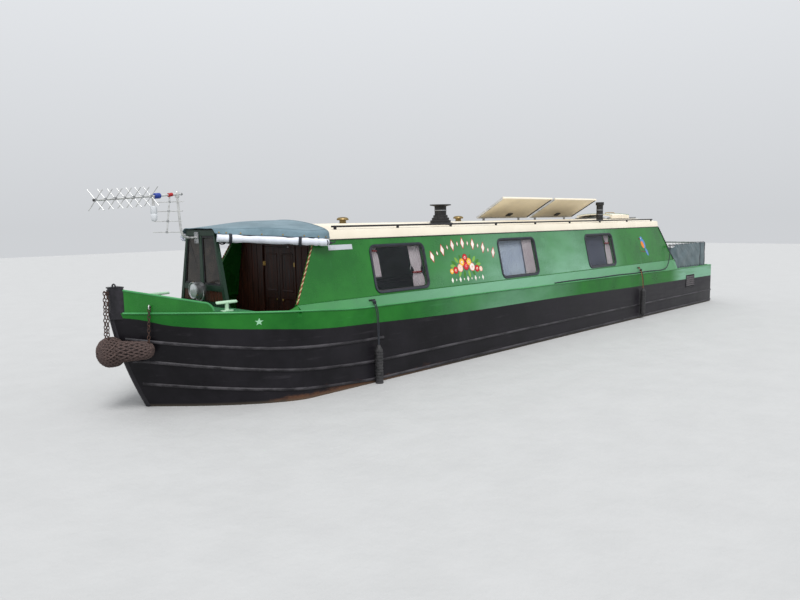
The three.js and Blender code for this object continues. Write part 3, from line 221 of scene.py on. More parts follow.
# Side fenders: X, lower end and length
SIDE_FENDERS = {"fore": (3.75, 0.415, 0.53), "aft": (-2.95, 0.54, 0.52)}
FENDER_Y = 1.0863
FENDER_RIBS = 13
RAIL_Z = 1.775
RAIL_Y = 0.945
# The dodger: its face, rear edge, seam and top; the lower and upper end of its front edge, which leans above
# a height; and the distance between its lacing
DODGER_Y = 0.968
DODGER_REAR = -6.08
DODGER_SEAM = -5.86
DODGER_TOP = 1.79
DODGER_FRONT = (-4.612, -4.39)
LEAN_Z = 1.475
TIE_PITCH = 0.245
STOCK_X = -6.03
STOCK_TOP_Z = 1.3103
SCREW_AT = (-5.84, 0, 0.24)
# Fittings of the decks: lifting rings and filler caps as (X, y), the locker lid as rear, front, half width
PULLS_AT = (-5.19, 0.19)
CAPS_AT = (-5.75, 0.55)
LOCKER_LID = (5.56, 5.98, 0.21)
# Propeller blade: radius, half chord, pitch in degrees
BLADE_SECTIONS = ((0.02, 0.058, 62), (0.09, 0.080, 42), (0.15, 0.066, 30), (0.185, 0.026, 24))

# Camera, from a fit to the photograph's straight edges
CAMERA_AT = (9.157, 6.720, 2.340)
CAMERA_YAW = -0.7968
CAMERA_PITCH = 0.1130
CAMERA_ROLL = -0.0166
CAMERA_LENS = 31.27

# Light
SKY_LOW = 0.66
SKY_HIGH = 1.15
SKY_COLOUR = (0.94, 0.965, 1.0, 1)
KEY_ENERGY = 2.2
KEY_FROM = (0.35, 0.5, 1.0)
KEY_SPREAD = math.radians(25)

# The line between black and green: distance from the bow, height above water
PAINT_LINE = (
    (0.0, 0.955), (0.16, 0.935), (0.43, 0.858), (0.8, 0.815), (1.31, 0.772), (1.9, 0.715), (2.64, 0.69),
    (3.88, 0.652), (6.5, 0.63), (9.24, 0.592), (12.67, 0.56),
)
PAINT_LINE_LOW = 0.4
GREEN_LIGHT = (0.020, 0.175, 0.022)
GREEN_DARK = (0.009, 0.110, 0.014)
# Pale green: chalked paint at the quarter, and painted sky reflection amidships and on the gunwale's slope
GREEN_CHALK_AND_SKY_SHEEN = (0.21, 0.42, 0.29)

# Worn paints: light tone, dark tone, roughness from and to, depth of dents, share of streaks
WORN = {
    "green": (GREEN_LIGHT, GREEN_DARK, (0.2, 0.38)),
    # The bead's lighter green is a painted highlight along the hull's edge and the bulwark's top
    "bead": ((0.08, 0.33, 0.12), (0.035, 0.21, 0.06), (0.25, 0.4)),
    "deck": ((0.03, 0.16, 0.06), (0.015, 0.09, 0.03), (0.6, 0.8)),
    "cream": ((0.82, 0.75, 0.62), (0.74, 0.67, 0.54), (0.35, 0.5), 0.3, 0.15),
}
# Mottled materials: light tone, dark tone, mottling to the metre, roughness from and to, metal, bump, shine
MOTTLED = {
    "slat": ((0.10, 0.085, 0.09), (0.02, 0.018, 0.02), 20.0, (0.4, 0.6)),
    "black": ((0.022, 0.020, 0.025), (0.008, 0.008, 0.010), 14.0, (0.35, 0.6), 0.0, 0.15, 0.3),
    "iron": ((0.035, 0.034, 0.034), (0.01, 0.01, 0.01), 40.0, (0.5, 0.75), 0.3),
    "rubber": ((0.04, 0.038, 0.04), (0.014, 0.014, 0.015), 26.0, (0.5, 0.8)),
    "steel": ((0.42, 0.43, 0.44), (0.24, 0.245, 0.25), 18.0, (0.35, 0.55), 0.85),
    "alloy": ((0.72, 0.72, 0.70), (0.5, 0.5, 0.49), 22.0, (0.3, 0.5), 0.7),
    "brass": ((0.52, 0.36, 0.12), (0.30, 0.19, 0.06), 20.0, (0.22, 0.45), 1.0),
    "dull_brass": ((0.30, 0.22, 0.09), (0.16, 0.11, 0.05), 20.0, (0.35, 0.6), 0.9),
    "chain": ((0.10, 0.05, 0.035), (0.03, 0.02, 0.018), 60.0, (0.55, 0.8), 0.5),
    "strap": ((0.03, 0.035, 0.045), (0.012, 0.014, 0.02), 90.0, (0.7, 0.9)),
    "seam": ((0.11, 0.17, 0.20), (0.08, 0.12, 0.15), 200.0, (0.8, 0.9)),
    "plait": ((0.11, 0.070, 0.060), (0.022, 0.015, 0.015), 130.0, (0.8, 0.95), 0.0, 0.6),
    "fender_core": ((0.02, 0.014, 0.013), (0.008, 0.006, 0.006), 60.0, (0.9, 1.0)),
    # Painted shade: a near-black plate behind the vent's slats stands in for the dark opening
    "vent_dark": ((0.006, 0.006, 0.006), (0.003, 0.003, 0.003), 20.0, (0.8, 0.9)),
    "window_frame": ((0.028, 0.031, 0.048), (0.011, 0.013, 0.020), 22.0, (0.3, 0.5), 0.1),
    "smoked": ((0.034, 0.025, 0.019), (0.007, 0.006, 0.005), 9.0, (0.10, 0.22), 0.0, 0.02, 0.25),
    "lens": ((0.55, 0.57, 0.58), (0.42, 0.44, 0.45), 12.0, (0.05, 0.12), 0.3, 0.1),
    "floor_pale": ((0.46, 0.46, 0.455), (0.44, 0.44, 0.435), 2.0, (0.75, 0.85)),
}
# Cloths: light tone, dark tone, threads, share of stains
CLOTHS = {
    "canopy": ((0.155, 0.235, 0.275), (0.095, 0.155, 0.185)),
    "pale": ((0.79, 0.82, 0.88), (0.60, 0.62, 0.69), 420.0, 0.3),
    "dodger": ((0.105, 0.150, 0.165), (0.058, 0.088, 0.098)),
    "lace": ((0.92, 0.84, 0.86), (0.72, 0.62, 0.66), 900.0, 0.35),
    # The net's sky-blue tint is a painted reflection of the sky in its window
    "net": ((0.78, 0.88, 1.0), (0.66, 0.76, 0.93), 900.0, 0.1),
    "blind": ((0.16, 0.18, 0.25), (0.09, 0.10, 0.15), 600.0, 0.5),
}
# Timbers: light tone, dark tone, how the grain is stretched, width of the boards
TIMBERS = {
    "wood": ((0.075, 0.020, 0.009), (0.014, 0.004, 0.003), (8.0, 8.0, 0.5), 0.11),
    "plank": ((0.09, 0.03, 0.015), (0.04, 0.012, 0.006), (0.5, 9.0, 9.0)),
    "floor": ((0.16, 0.09, 0.045), (0.07, 0.035, 0.018), (0.5, 9.0, 9.0), 0.12),
}
# Decorative paints: light tone
PAINTS = {
    "roof": (0.80, 0.72, 0.57), "dark_green": (0.008, 0.030, 0.016), "pale_green": (0.42, 0.62, 0.44),
    "white": (0.86, 0.82, 0.74), "plate": (0.55, 0.58, 0.62), "red": (0.42, 0.018, 0.02),
    "rose_dark": (0.22, 0.008, 0.014), "rose_red": (0.60, 0.022, 0.03), "rose_pink": (0.80, 0.25, 0.22),
    "rose_pale": (0.90, 0.66, 0.52), "yellow": (0.84, 0.52, 0.06), "orange": (0.76, 0.22, 0.03),
    "rust_line": (0.30, 0.10, 0.035), "leaf": (0.05, 0.20, 0.02), "leaf_pale": (0.20, 0.42, 0.06),
    "twig": (0.12, 0.05, 0.02), "twist_red": (0.20, 0.028, 0.018), "twist_cream": (0.48, 0.38, 0.20),
    "blue": (0.10, 0.24, 0.52), "star": (0.30, 0.58, 0.36), "panel_back": (0.80, 0.72, 0.56),
    "blue_plastic": (0.02, 0.05, 0.30), "white_plastic": (0.62, 0.64, 0.66),
}
# The materials of the CAD nodes that stay in view
NODE_LOOKS = {
    "baseplate": "black", "foredeck": "deck", "well_deck_floor": "floor", "cabin_floor": "floor",
    "stern_deck": "deck", "deck_lid": "deck", "engine_block": "iron", "cabin_side_port": "cabin",
    "cabin_side_starboard": "cabin", "front_bulkhead": "wood", "rear_bulkhead": "green",
    "handrail_port": "black", "handrail_starboard": "black", "cratch_ridge": "plank",
    "stern_rail": "steel", "rudder": "black", "stern_tube": "brass",
}


# Shapes of the hull and cabin


def sheer(x):
    """Height of the hull's edge."""
    rise = max(0.0, (x - 4.1) / (BOW_X - 4.1))
    return 1.285 + (x + BOW_X) * 0.1 / 10.635 + 0.09 * (1 - (1 - rise) ** 2)


def stem_x(z):
    return BOW_X - 0.35 * max(0.0, (STEM_TOP_Z - z) / (STEM_TOP_Z - DRAFT)) ** 1.8


def half_breadth(x, z):
    """Half the hull's breadth: fine at the bottom of the bow, bluff at the top."""
    if x <= FULL_BEAM_X:
        return HALF_BEAM
    above = (z - DRAFT) / 0.95
    fullness = 1.55 + (0.38 * above if above < 0 else 0.42 * min(above, 1.1))
    share = min(1.0, max(0.0, (stem_x(z) - x) / (stem_x(z) - FULL_BEAM_X)))
    return STEM_HALF + (HALF_BEAM - STEM_HALF) * (1 - (1 - share) ** fullness)


def swim_half(x):
    share = min(1.0, max(0.0, (STERN_SPLIT_X - x) / (STERN_SPLIT_X - SWIM_END_X)))
    return STEM_HALF + (HALF_BEAM - STEM_HALF) * (1 - share**1.6)


def cabin_y(z):
    return CABIN_BASE_Y - CABIN_LEAN * (z - CABIN_BASE_Z)


def on_side(x, z, off):
    """A point off the cabin's sloping port side."""
    return Vector((x, cabin_y(z), z)) + SIDE_NORMAL * off


def roof_z(y):
    return ROOF_CROWN_Z - (ROOF_CROWN_Z - ROOF_EDGE_Z) * (y / ROOF_EDGE_Y) ** 2


def on_gunwale(x, share, off):
    """A point off the sloped gunwale: share runs from the hull's edge to the cabin's foot."""
    rise = CABIN_BASE_Z - sheer(x)
    run = HALF_BEAM - CABIN_BASE_Y - 0.003
    slope = math.hypot(rise, run)
    return (x, HALF_BEAM - share * run + off * rise / slope, sheer(x) + share * rise + off * run / slope)


# Points and paths


def span(start, end, steps):
    return [start + (end - start) * i / steps for i in range(steps + 1)]


def circle(steps):
    """Angles once round a circle."""
    return [2 * math.pi * k / steps for k in range(steps)]


def ellipse(centre, across, up, steps):
    """Points round an ellipse with two half axes."""
    centre, across, up = Vector(centre), Vector(across), Vector(up)
    return [centre + across * math.cos(t) + up * math.sin(t) for t in circle(steps)]


def sided(points, side):
    return [(p[0], p[1] * side, p[2]) for p in points]


def raised(outline, z):
    return [(x, y, z) for x, y in outline]


def turned(cx, cz, a, b, turn):
    """The flat point (a, b), turned and moved to (cx, cz)."""
    return (cx + a * math.cos(turn) - b * math.sin(turn), cz + a * math.sin(turn) + b * math.cos(turn))


def rounded(x0, x1, z0, z1, radius, steps=7):
    """A rounded rectangle as flat points."""
    corners = (
        (x1 - radius, z1 - radius, 0), (x0 + radius, z1 - radius, 90), (x0 + radius, z0 + radius, 180),
        (x1 - radius, z0 + radius, 270),
    )
    points = []
    for cx, cz, start in corners:
        for angle in span(math.radians(start), math.radians(start + 90), steps):
            points.append((cx + radius * math.cos(angle), cz + radius * math.sin(angle)))
    return points


def smooth_path(points, steps):
    """A Catmull-Rom curve through the points."""
    points = [Vector(p) for p in points]
    ends = [points[0] * 2 - points[1], *points, points[-1] * 2 - points[-2]]
    path = []
    for i in range(len(points) - 1):
        a, b, c, d = ends[i:i + 4]
        for k in range(steps):
            t = k / steps
            square, cube = 2 * a - 5 * b + 4 * c - d, 3 * b - a - 3 * c + d
            path.append(0.5 * (2 * b + (c - a) * t + square * t**2 + cube * t**3))
    path.append(points[-1])
    return path


def area_of(rows):
    """Area of a grid of points."""
    total = 0.0
    for a, b in zip(rows, rows[1:]):
        for i in range(len(a) - 1):
            p, q, r, s = (Vector(v) for v in (a[i], a[i + 1], b[i + 1], b[i]))
            total += ((q - p).cross(s - p).length + (q - r).cross(s - r).length) / 2
    return total


def length_of(path):
    return sum((Vector(b) - Vector(a)).length for a, b in zip(path, path[1:]))


# Materials


class Signal:
    """A shader value. Each sum, difference, product or absolute value is a node."""

    def __init__(self, graph, socket):
        self.graph = graph
        self.socket = socket

    def __add__(self, other):
        return self.graph.math("ADD", self, other)

    def __sub__(self, other):
        return self.graph.math("SUBTRACT", self, other)

    def __mul__(self, other):
        return self.graph.math("MULTIPLY", self, other)

    def __abs__(self):
        return self.graph.math("ABSOLUTE", self)


class Graph:
    """A node material: a Principled shader with helpers for procedural patterns."""

    def __init__(self, name, **sockets):
        self.mat = bpy.data.materials.new(name)
        self.mat.use_nodes = True
        self.tree = self.mat.node_tree
        self.bsdf = self.tree.nodes["Principled BSDF"]
        for key, value in sockets.items():
            self.bsdf.inputs[key.replace("_", " ")].default_value = value
        self.coord = Signal(self, self.tree.nodes.new("ShaderNodeTexCoord").outputs["Object"])

    def node(self, kind, inputs, out=0, **props):
        made = self.tree.nodes.new("ShaderNode" + kind)
        for key, value in props.items():
            setattr(made, key, value)
        for key, value in inputs.items():
            if isinstance(value, Signal):
                self.tree.links.new(value.socket, made.inputs[key])
            else:
                made.inputs[key].default_value = value
        return Signal(self, made.outputs[out])

    def noise(self, scale, detail=4.0, rough=0.55, stretch=(1, 1, 1)):
        vector = self.node("Mapping", {"Vector": self.coord, "Scale": stretch})
        return self.node("TexNoise", {"Vector": vector, "Scale": scale, "Detail": detail, "Roughness": rough})

    def math(self, operation, a, b=0.0):
        return self.node("Math", {0: a, 1: b}, operation=operation)

    def band(self, value, low, high, start=0.0, end=1.0):
        """A smooth step from start, where the value is low, to end, where it is high."""
        inputs = {0: value, 1: low, 2: high, 3: start, 4: end}
        return self.node("MapRange", inputs, interpolation_type="SMOOTHSTEP")

    def mix(self, factor, a, b):
        a, b = (c if isinstance(c, Signal) else (*c, 1.0) for c in (a, b))
        return self.node("Mix", {0: factor, 6: a, 7: b}, out=2, data_type="RGBA")

    def axes(self):
        return [self.node("SeparateXYZ", {0: self.coord}, out=i) for i in range(3)]

    def curve(self, value, points):
        """A smooth curve through (input, output) points, both from 0 to 1."""
        made = self.tree.nodes.new("ShaderNodeFloatCurve")
        self.tree.links.new(value.socket, made.inputs["Value"])
        line = made.mapping.curves[0]
        for i, (a, b) in enumerate(points):
            if i < 2:
                line.points[i].location = (a, b)
            else:
                line.points.new(a, b)
        made.mapping.update()
        return Signal(self, made.outputs[0])

    def joints(self, value, pitch, width):
        """Lines at an even pitch along a value."""
        return self.band(abs(self.math("SINE", value * (math.pi / pitch))), 0.0, width, 1.0, 0.0)

    def set(self, socket, value):
        self.tree.links.new(value.socket, self.bsdf.inputs[socket])

    def bump(self, height, strength, distance):
        self.set("Normal", self.node("Bump", {"Height": height, "Strength": strength, "Distance": distance}))

    def enamel(self, colour, drift, fine, rough, dents):
        """Colour, shine, orange peel and shallow dents of brushed paint."""
        self.set("Base Color", colour)
        self.set("Roughness", self.band(drift + fine * 0.4, 0.4, 1.0, *rough))
        self.bump(drift * dents + fine * 0.012, 0.35, 0.02)
        return self.mat


def toned(colour, share):
    return tuple(c * share for c in colour)


def worn_paint(name, light, dark, rough=(0.28, 0.5), dents=0.4, streaks=0.35):
    """Brushed enamel with slow colour drift and run-off streaks."""
    g = Graph(name, Specular_IOR_Level=0.3)
    drift = g.noise(1.3, 5.0, 0.6)
    streak = g.noise(9.0, 4.0, 0.6, (1.0, 1.0, 0.12))
    base = g.mix(g.band(drift, 0.3, 0.7), dark, light)
    chalk = tuple(min(1.0, c * 1.25 + 0.03) for c in light)
    base = g.mix(g.band(streak, 0.58, 0.85, 0.0, streaks), base, chalk)
    base = g.mix(g.band(streak, 0.4, 0.18, 0.0, streaks), base, toned(dark, 0.55))
    return g.enamel(base, drift, g.noise(70.0, 2.0), rough, dents)


def mottled(
    name, light, dark, scale, rough, metallic=0.0, bump=0.15, specular=0.5, stretch=(1, 1, 1), alpha=1.0
):
    """A material with two-tone mottling, varied roughness and a fine bump."""
    g = Graph(name, Metallic=metallic, Specular_IOR_Level=specular, Alpha=alpha)
    cloud = g.noise(scale, 5.0, 0.6, stretch)
    g.set("Base Color", g.mix(g.band(cloud, 0.3, 0.7), dark, light))
    g.set("Roughness", g.band(cloud, 0.3, 0.7, *rough))
    g.bump(cloud, bump, 0.3 / scale)
    return g.mat


def woven(name, light, dark, threads=420.0, stain=0.5):
    """Canvas: crossed threads, soft creases and weather stains."""
    g = Graph(name, Roughness=0.88, Sheen_Weight=0.15)
    x, y, z = g.axes()
    weave = g.math("SINE", x * threads) * g.math("SINE", (y + z) * threads)
    base = g.mix(g.band(g.noise(3.0, 6.0, 0.65), 0.3, 0.72), dark, light)
    shade = toned(dark, 0.55)
    base = g.mix(g.band(g.noise(11.0, 6.0, 0.7), 0.55, 0.8, 0.0, stain), base, shade)
    g.set("Base Color", g.mix(g.band(weave, -1.0, 1.0, 0.0, 0.12), base, shade))
    g.bump(weave * 0.02 + g.noise(7.0, 3.0, 0.5, (0.5, 1.0, 1.0)), 0.35, 0.02)
    return g.mat


def timber(name, light, dark, stretch, boards=0.0):
    """Stained wood: long grain, pores and, where boards is set, joints between vertical boards."""
    g = Graph(name, Specular_IOR_Level=0.25)
    grain = g.noise(6.0, 8.0, 0.65, stretch)
    pores = g.noise(60.0, 3.0, 0.6, stretch)
    base = g.mix(g.band(grain, 0.32, 0.68), dark, light)
    base = g.mix(g.band(pores, 0.55, 0.75, 0.0, 0.5), base, toned(dark, 0.4))
    height = grain + pores * 0.3
    if boards:
        joint = g.joints(g.axes()[1], boards, 0.09)
        base = g.mix(joint, base, toned(dark, 0.15))
        height = height - joint * 3.0
    g.set("Base Color", base)
    g.set("Roughness", g.band(grain, 0.3, 0.7, 0.35, 0.55))
    g.bump(height, 0.4, 0.004)
    return g.mat


def solar_cells():
    """Dark blue cells with thin pale joints."""
    g = Graph("solar_cells", Roughness=0.12)
    x, y, _ = g.axes()
    along, across = (g.joints(value, 0.125, 0.08) for value in (x, y * (1 / math.cos(PANEL_TILT))))
    tone = g.mix(g.band(g.noise(9.0, 4.0), 0.35, 0.65), (0.010, 0.016, 0.05), (0.018, 0.03, 0.09))
    g.set("Base Color", g.mix(g.math("MAXIMUM", along, across), tone, (0.35, 0.38, 0.42)))
    g.bump(g.noise(4.0, 2.0), 0.1, 0.01)
    return g.mat


def sky_reflection_mask(g, aft, fore):
    """How much painted sky reflection pales the green: most amidships, ending between two distances aft."""
    x = g.axes()[0]
    patches = g.band(g.noise(1.1, 4.0, 0.6, (0.6, 1.0, 1.4)), 0.32, 0.68, 0.45, 1.0)
    return g.band(x, 3.4, 1.0) * g.band(x, aft, fore) * patches


def bitumen(g, x, z, drift, scuff, fine):
    """The hull's black, scuffed, paled aft by a painted sky reflection, with rust at the waterline of the
    bow.
    """
    black = g.mix(g.band(drift, 0.3, 0.7), (0.006, 0.0055, 0.007), (0.015, 0.0135, 0.017))
    black = g.mix(g.band(scuff, 0.56, 0.78, 0.0, 0.55), black, (0.045, 0.041, 0.047))
    # Painted sky reflection: the black turns paler towards the stern
    black = g.mix(g.band(x, 3.5, -4.0, 0.0, 0.15), black, (0.045, 0.040, 0.048))
    stretch = g.band(x, 2.2, 3.6, 0.25, 1.0) * g.band(x, 4.6, 5.4, 1.0, 0.1)
    low = g.band(z, 0.50, 0.62, 1.0, 0.0) * stretch
    rust = g.band(g.noise(6.0, 7.0, 0.7, (0.5, 1.0, 1.6)) + low * 0.42, 0.62, 0.86)
    rust = rust * (g.band(z, 0.5, 0.72, 1.0, 0.0) * g.band(stretch, 0.05, 0.7, 0.3, 1.0))
    black = g.mix(rust, black, g.mix(fine, (0.16, 0.075, 0.04), (0.07, 0.032, 0.02)))
    return g.mix(g.band(z, 0.505, 0.54, 0.6, 0.0), black, (0.09, 0.075, 0.055)), rust


def band_green(g, x, z, line, drift, scuff):
    """The green above the paint line, paled by painted sky reflection amidships and on the gunwale's upward
    slope, and chalked at the quarter.
    """
    green = g.mix(g.band(drift, 0.3, 0.7), GREEN_DARK, GREEN_LIGHT)
    upward = g.node("SeparateXYZ", {0: g.node("NewGeometry", {}, out=3)}, out=2)
    # Painted sky reflection: upward-facing faces such as the gunwale's slope are paled, less near the bow
    slope = g.band(upward, 0.2, 0.6) * g.band(x, 5.0, 0.5, 0.18, 0.9)
    quarter = g.band(x, -4.2, -4.9) * g.band(scuff, 0.3, 0.55, 0.45, 0.9)
    # Painted sky reflection: the green band is paled amidships
    middle = sky_reflection_mask(g, -1.0, 0.3) * 0.5
    green = g.mix(g.math("MAXIMUM", g.math("MAXIMUM", middle, quarter), slope), green, GREEN_CHALK_AND_SKY_SHEEN)
    green = g.mix(g.band(scuff, 0.6, 0.85, 0.0, 0.5), green, (0.12, 0.36, 0.17))
    chip = g.band(g.noise(38.0, 4.0, 0.6, (0.5, 1.0, 1.0)), 0.7, 0.76)
    return g.mix(chip * g.band(abs(z - line), 0.0, 0.03, 1.0, 0.0), green, (0.02, 0.02, 0.02))


def hull_paint():
    """Black bitumen up to the paint line and green enamel above it."""
    g = Graph("hull", Specular_IOR_Level=0.15)
    x, _, z = g.axes()
    along = g.node("MapRange", {0: x, 1: BOW_X, 2: STERN_X, 3: 0.0, 4: 1.0})
    points = [(d / (BOW_X - STERN_X), h - PAINT_LINE_LOW) for d, h in PAINT_LINE]
    line = g.curve(along, points) + (DRAFT + PAINT_LINE_LOW)
    is_green = g.band(z + g.noise(25.0, 2.0) * 0.006 - line, 0.001, 0.005)
    drift = g.noise(1.6, 5.0, 0.6)
    scuff = g.noise(5.0, 6.0, 0.7, (0.25, 1.0, 3.0))
    fine = g.noise(80.0, 3.0, 0.6)
    black, rust = bitumen(g, x, z, drift, scuff, fine)
    g.set("Base Color", g.mix(is_green, black, band_green(g, x, z, line, drift, scuff)))
    shine = g.band(drift + scuff * 0.7, 0.5, 1.2, 0.30, 0.52)
    g.set("Roughness", shine + rust * 0.4 - is_green * 0.06)
    g.bump(drift * 0.5 + fine * 0.02 + rust * (fine * 0.2), 0.4, 0.02)
    return g.mat


def cabin_paint():
    """Green enamel paled amidships by a painted sky reflection, most low down, with run-off streaks and
    shallow dents in the plate.
    """
    g = Graph("cabin", Specular_IOR_Level=0.35)
    drift = g.noise(1.2, 5.0, 0.6)
    streak = g.noise(9.0, 4.0, 0.6, (1.0, 1.0, 0.12))
    green = g.mix(g.band(drift, 0.3, 0.7), GREEN_DARK, GREEN_LIGHT)
    # Painted sky reflection: the cabin's green is paled amidships, most low down
    green = g.mix(sky_reflection_mask(g, -2.6, -1.8) * g.band(g.axes()[2], 2.2, 1.5, 0.35, 0.85), green, GREEN_CHALK_AND_SKY_SHEEN)
    green = g.mix(g.band(streak, 0.6, 0.85, 0.0, 0.3), green, (0.10, 0.34, 0.16))
    green = g.mix(g.band(streak, 0.4, 0.15, 0.0, 0.3), green, (0.012, 0.08, 0.03))
    return g.enamel(green, drift, g.noise(70.0, 2.0), (0.2, 0.4), 0.5)


MAT = {"hull": hull_paint(), "cabin": cabin_paint(), "cells": solar_cells()}
for make_material, table in ((worn_paint, WORN), (mottled, MOTTLED), (woven, CLOTHS), (timber, TIMBERS)):
    for key, facts in table.items():
        MAT[key] = make_material(key, *facts)
for key, tone in PAINTS.items():
    MAT[key] = worn_paint(key, tone, toned(tone, 0.82), (0.35, 0.5), 0.25, 0.18)
# Strakes: grey partly rubbed wear and partly a painted highlight of the sky on their rounded faces
MAT["rubbed_and_sheen"] = mottled(
    "rubbed_and_sheen", (0.060, 0.056, 0.062), (0.008, 0.007, 0.009), 13.0, (0.4, 0.6), specular=0.25,
    stretch=(0.3, 1, 1),
)
MAT["glass"] = mottled(
    "glass", (0.022, 0.025, 0.030), (0.012, 0.014, 0.017), 3.0, (0.03, 0.07), bump=0.02, alpha=0.25
)


# Meshes


class Build:
    """Collects faces, each with a material, and makes one object of them."""

    def __init__(self):
        self.verts, self.faces, self.slots, self.mats = [], [], [], []

    def add(self, points, faces, key):
        if key not in self.mats:
            self.mats.append(key)
        start = len(self.verts)
        self.verts += [tuple(p) for p in points]
        self.faces += [[start + i for i in face] for face in faces]
        self.slots += [self.mats.index(key)] * len(faces)

    def grid(self, rows, key, loop=False, wrap=False):
        """Joins rows of points by quads. loop closes each row, and wrap joins the last row to the first."""
        count = len(rows[0])
        faces = []
        for r in range(len(rows) if wrap else len(rows) - 1):
            a, b = r * count, ((r + 1) % len(rows)) * count
            for i in range(count if loop else count - 1):
                j = (i + 1) % count
                faces.append((a + i, a + j, b + j, b + i))
        self.add([p for row in rows for p in row], faces, key)

    def solid(self, rows, key):
        """Closed rings joined by quads and capped at both ends."""
        self.grid(rows, key, loop=True)
        self.add(rows[0], [list(range(len(rows[0])))[::-1]], key)
        self.add(rows[-1], [list(range(len(rows[-1])))], key)

    def prism(self, ring, xs, key):
        """A solid from a (y, z) outline drawn out along X."""
        self.solid([[(x, y, z) for y, z in ring] for x in xs], key)

    def both(self, rows, key, **kind):
        """A grid on the port side and its mirror image."""
        for side in SIDES:
            self.grid([sided(row, side) for row in rows], key, **kind)

    def box(self, low, high, key):
        (x0, y0, z0), (x1, y1, z1) = low, high
        self.prism([(y0, z0), (y1, z0), (y1, z1), (y0, z1)], (x0, x1), key)

    def tube(self, path, radius, key, sides=10, closed=False, squash=1.0):
        """A round bar along a path, with radius a number or one for each point."""
        points = [Vector(p) for p in path]
        count = len(points)
        radii = radius if isinstance(radius, (list, tuple)) else [radius] * count
        rows = []
        normal = None
        for i, point in enumerate(points):
            before = points[i - 1] if i or closed else point
            after = points[(i + 1) % count] if i < count - 1 or closed else point
            tangent = (after - before).normalized()
            if normal is None:
                normal = tangent.orthogonal().normalized()
            normal = (normal - tangent * normal.dot(tangent)).normalized()
            side = tangent.cross(normal) * squash
            reach = radii[i]
            rows.append([point + (normal * math.cos(t) + side * math.sin(t)) * reach for t in circle(sides)])
        if closed:
            self.grid(rows, key, loop=True, wrap=True)
        else:
            self.solid(rows, key)

    def lathe(self, profile, at, axis, key, sides=24):
        """Turns (radius, height) points about an axis through a point."""
        along = Vector(axis).normalized()
        out = along.orthogonal().normalized()
        side = along.cross(out)
        rows = []
        for radius, height in profile:
            centre = Vector(at) + along * height
            reach = max(radius, 1e-5)
            rows.append([centre + (out * math.cos(t) + side * math.sin(t)) * reach for t in circle(sides)])
        self.solid(rows, key)

    def make(self, name, body="boat", slot=None, replaces=(), angle=35, bevel=0.0, weld=True):
        mesh = bpy.data.meshes.new(name)
        mesh.from_pydata(self.verts, [], self.faces)
        for key in self.mats:
            mesh.materials.append(MAT[key])
        mesh.polygons.foreach_set("material_index", self.slots)
        mesh.validate()
        tidy_mesh(mesh, weld)
        mesh.polygons.foreach_set("use_smooth", [True] * len(mesh.polygons))
        mesh.set_sharp_from_angle(angle=math.radians(angle))
        piece = bpy.data.objects.new(name, mesh)
        bpy.context.scene.collection.objects.link(piece)
        if bevel:
            cut = piece.modifiers.new("edges", "BEVEL")
            cut.width = bevel
            cut.segments = 2
            cut.limit_method = "ANGLE"
            cut.angle_limit = math.radians(40)
        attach(piece, body)
        if replaces:
            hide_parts(*replaces)
        return piece


def tidy_mesh(mesh, weld):
    work = bmesh.new()
    work.from_mesh(mesh)
    if weld:
        bmesh.ops.remove_doubles(work, verts=work.verts, dist=1e-5)
    bmesh.ops.dissolve_degenerate(work, edges=work.edges, dist=1e-6)
    bmesh.ops.recalc_face_normals(work, faces=work.faces)
    work.to_mesh(mesh)
    work.free()


def cloth(build, name, flat, held, rests_on, thick=0.003, with_pieces=(), replaces=(), **kind):
    """Makes a sheet of the given thickness."""
    piece = build.make(name, slot="canvas", replaces=replaces, angle=80, weld=False)
    body = piece.modifiers.new("thickness", "SOLIDIFY")
    body.thickness = thick
    body.offset = 0
    return piece


# Hull


def gunwale_line():
    """The taut cord along the gunwale and up to the stern rail."""
    low = [on_gunwale(x, 0.1 + 0.04 * (i % 2), LINE_RADIUS + 0.0001) for i, x in enumerate(LINE_XS)]
    rise = [(-4.05, 1.024, 1.36), (-4.2, 1.006, 1.45), (-4.28, 0.99, 1.58), (-4.325, 0.978, 1.7),
            (-4.35, 0.971, RAIL_Z - 0.004)]
    path = smooth_path(low + rise, 4)
    build = Build()
    for strand in range(3):
        twisted = []
        for i, point in enumerate(smooth_path(path, 4)):
            turn = i * 0.75 + strand * 2 * math.pi / 3
            twisted.append(point + Vector((0, math.cos(turn), math.sin(turn))) * 0.0042)
        build.tube(twisted, 0.0047, "strap", sides=6)
    rope = build.make("gunwale_rope", slot="dark_rubber", replaces=["gunwale_line"], weld=False)


def bow_point(share, level):
    """A point on the bow's plating: share runs aft from the stem and level up to the sheer."""
    x = BOW_X
    for _ in range(5):
        top = sheer(x)
        x = stem_x(top) - share * (stem_x(top) - BOW_SPLIT_X)
    z = LOW_Z + level * (top - LOW_Z)
    x = stem_x(z) - share * (stem_x(z) - BOW_SPLIT_X)
    return (x, half_breadth(x, z), z)


def edge_point(x, inset=0.0):
    """A point on the hull's edge, or inboard of it."""
    return (x, half_breadth(x, sheer(x)) - inset, sheer(x))


def across(x, z, inset=0.0):
    """Three points across the hull at one height."""
    return [(x, s * (half_breadth(x, z) - inset), z) for s in (-1, 0, 1)]


def strake_z(strake, x):
    along = (BOW_X - x - strake["start"]) / (STRAKE_REACH - strake["start"])
    return DRAFT + strake["low"] + strake["rise"] * max(0.0, 1 - max(0.0, along)) ** strake["power"]


def strake_rows(strake, xs):
    """A half-round rubbing strake along the hull, sunk a little into its plate."""
    rows = []
    for x in xs:
        z = strake_z(strake, x)
        y = half_breadth(x, z) - STRAKE_SUNK
        rows.append([(x, y + 0.021 * math.sin(t), z + STRAKE_HALF * math.cos(t))
                     for t in span(0, math.pi, 6)])
    return rows


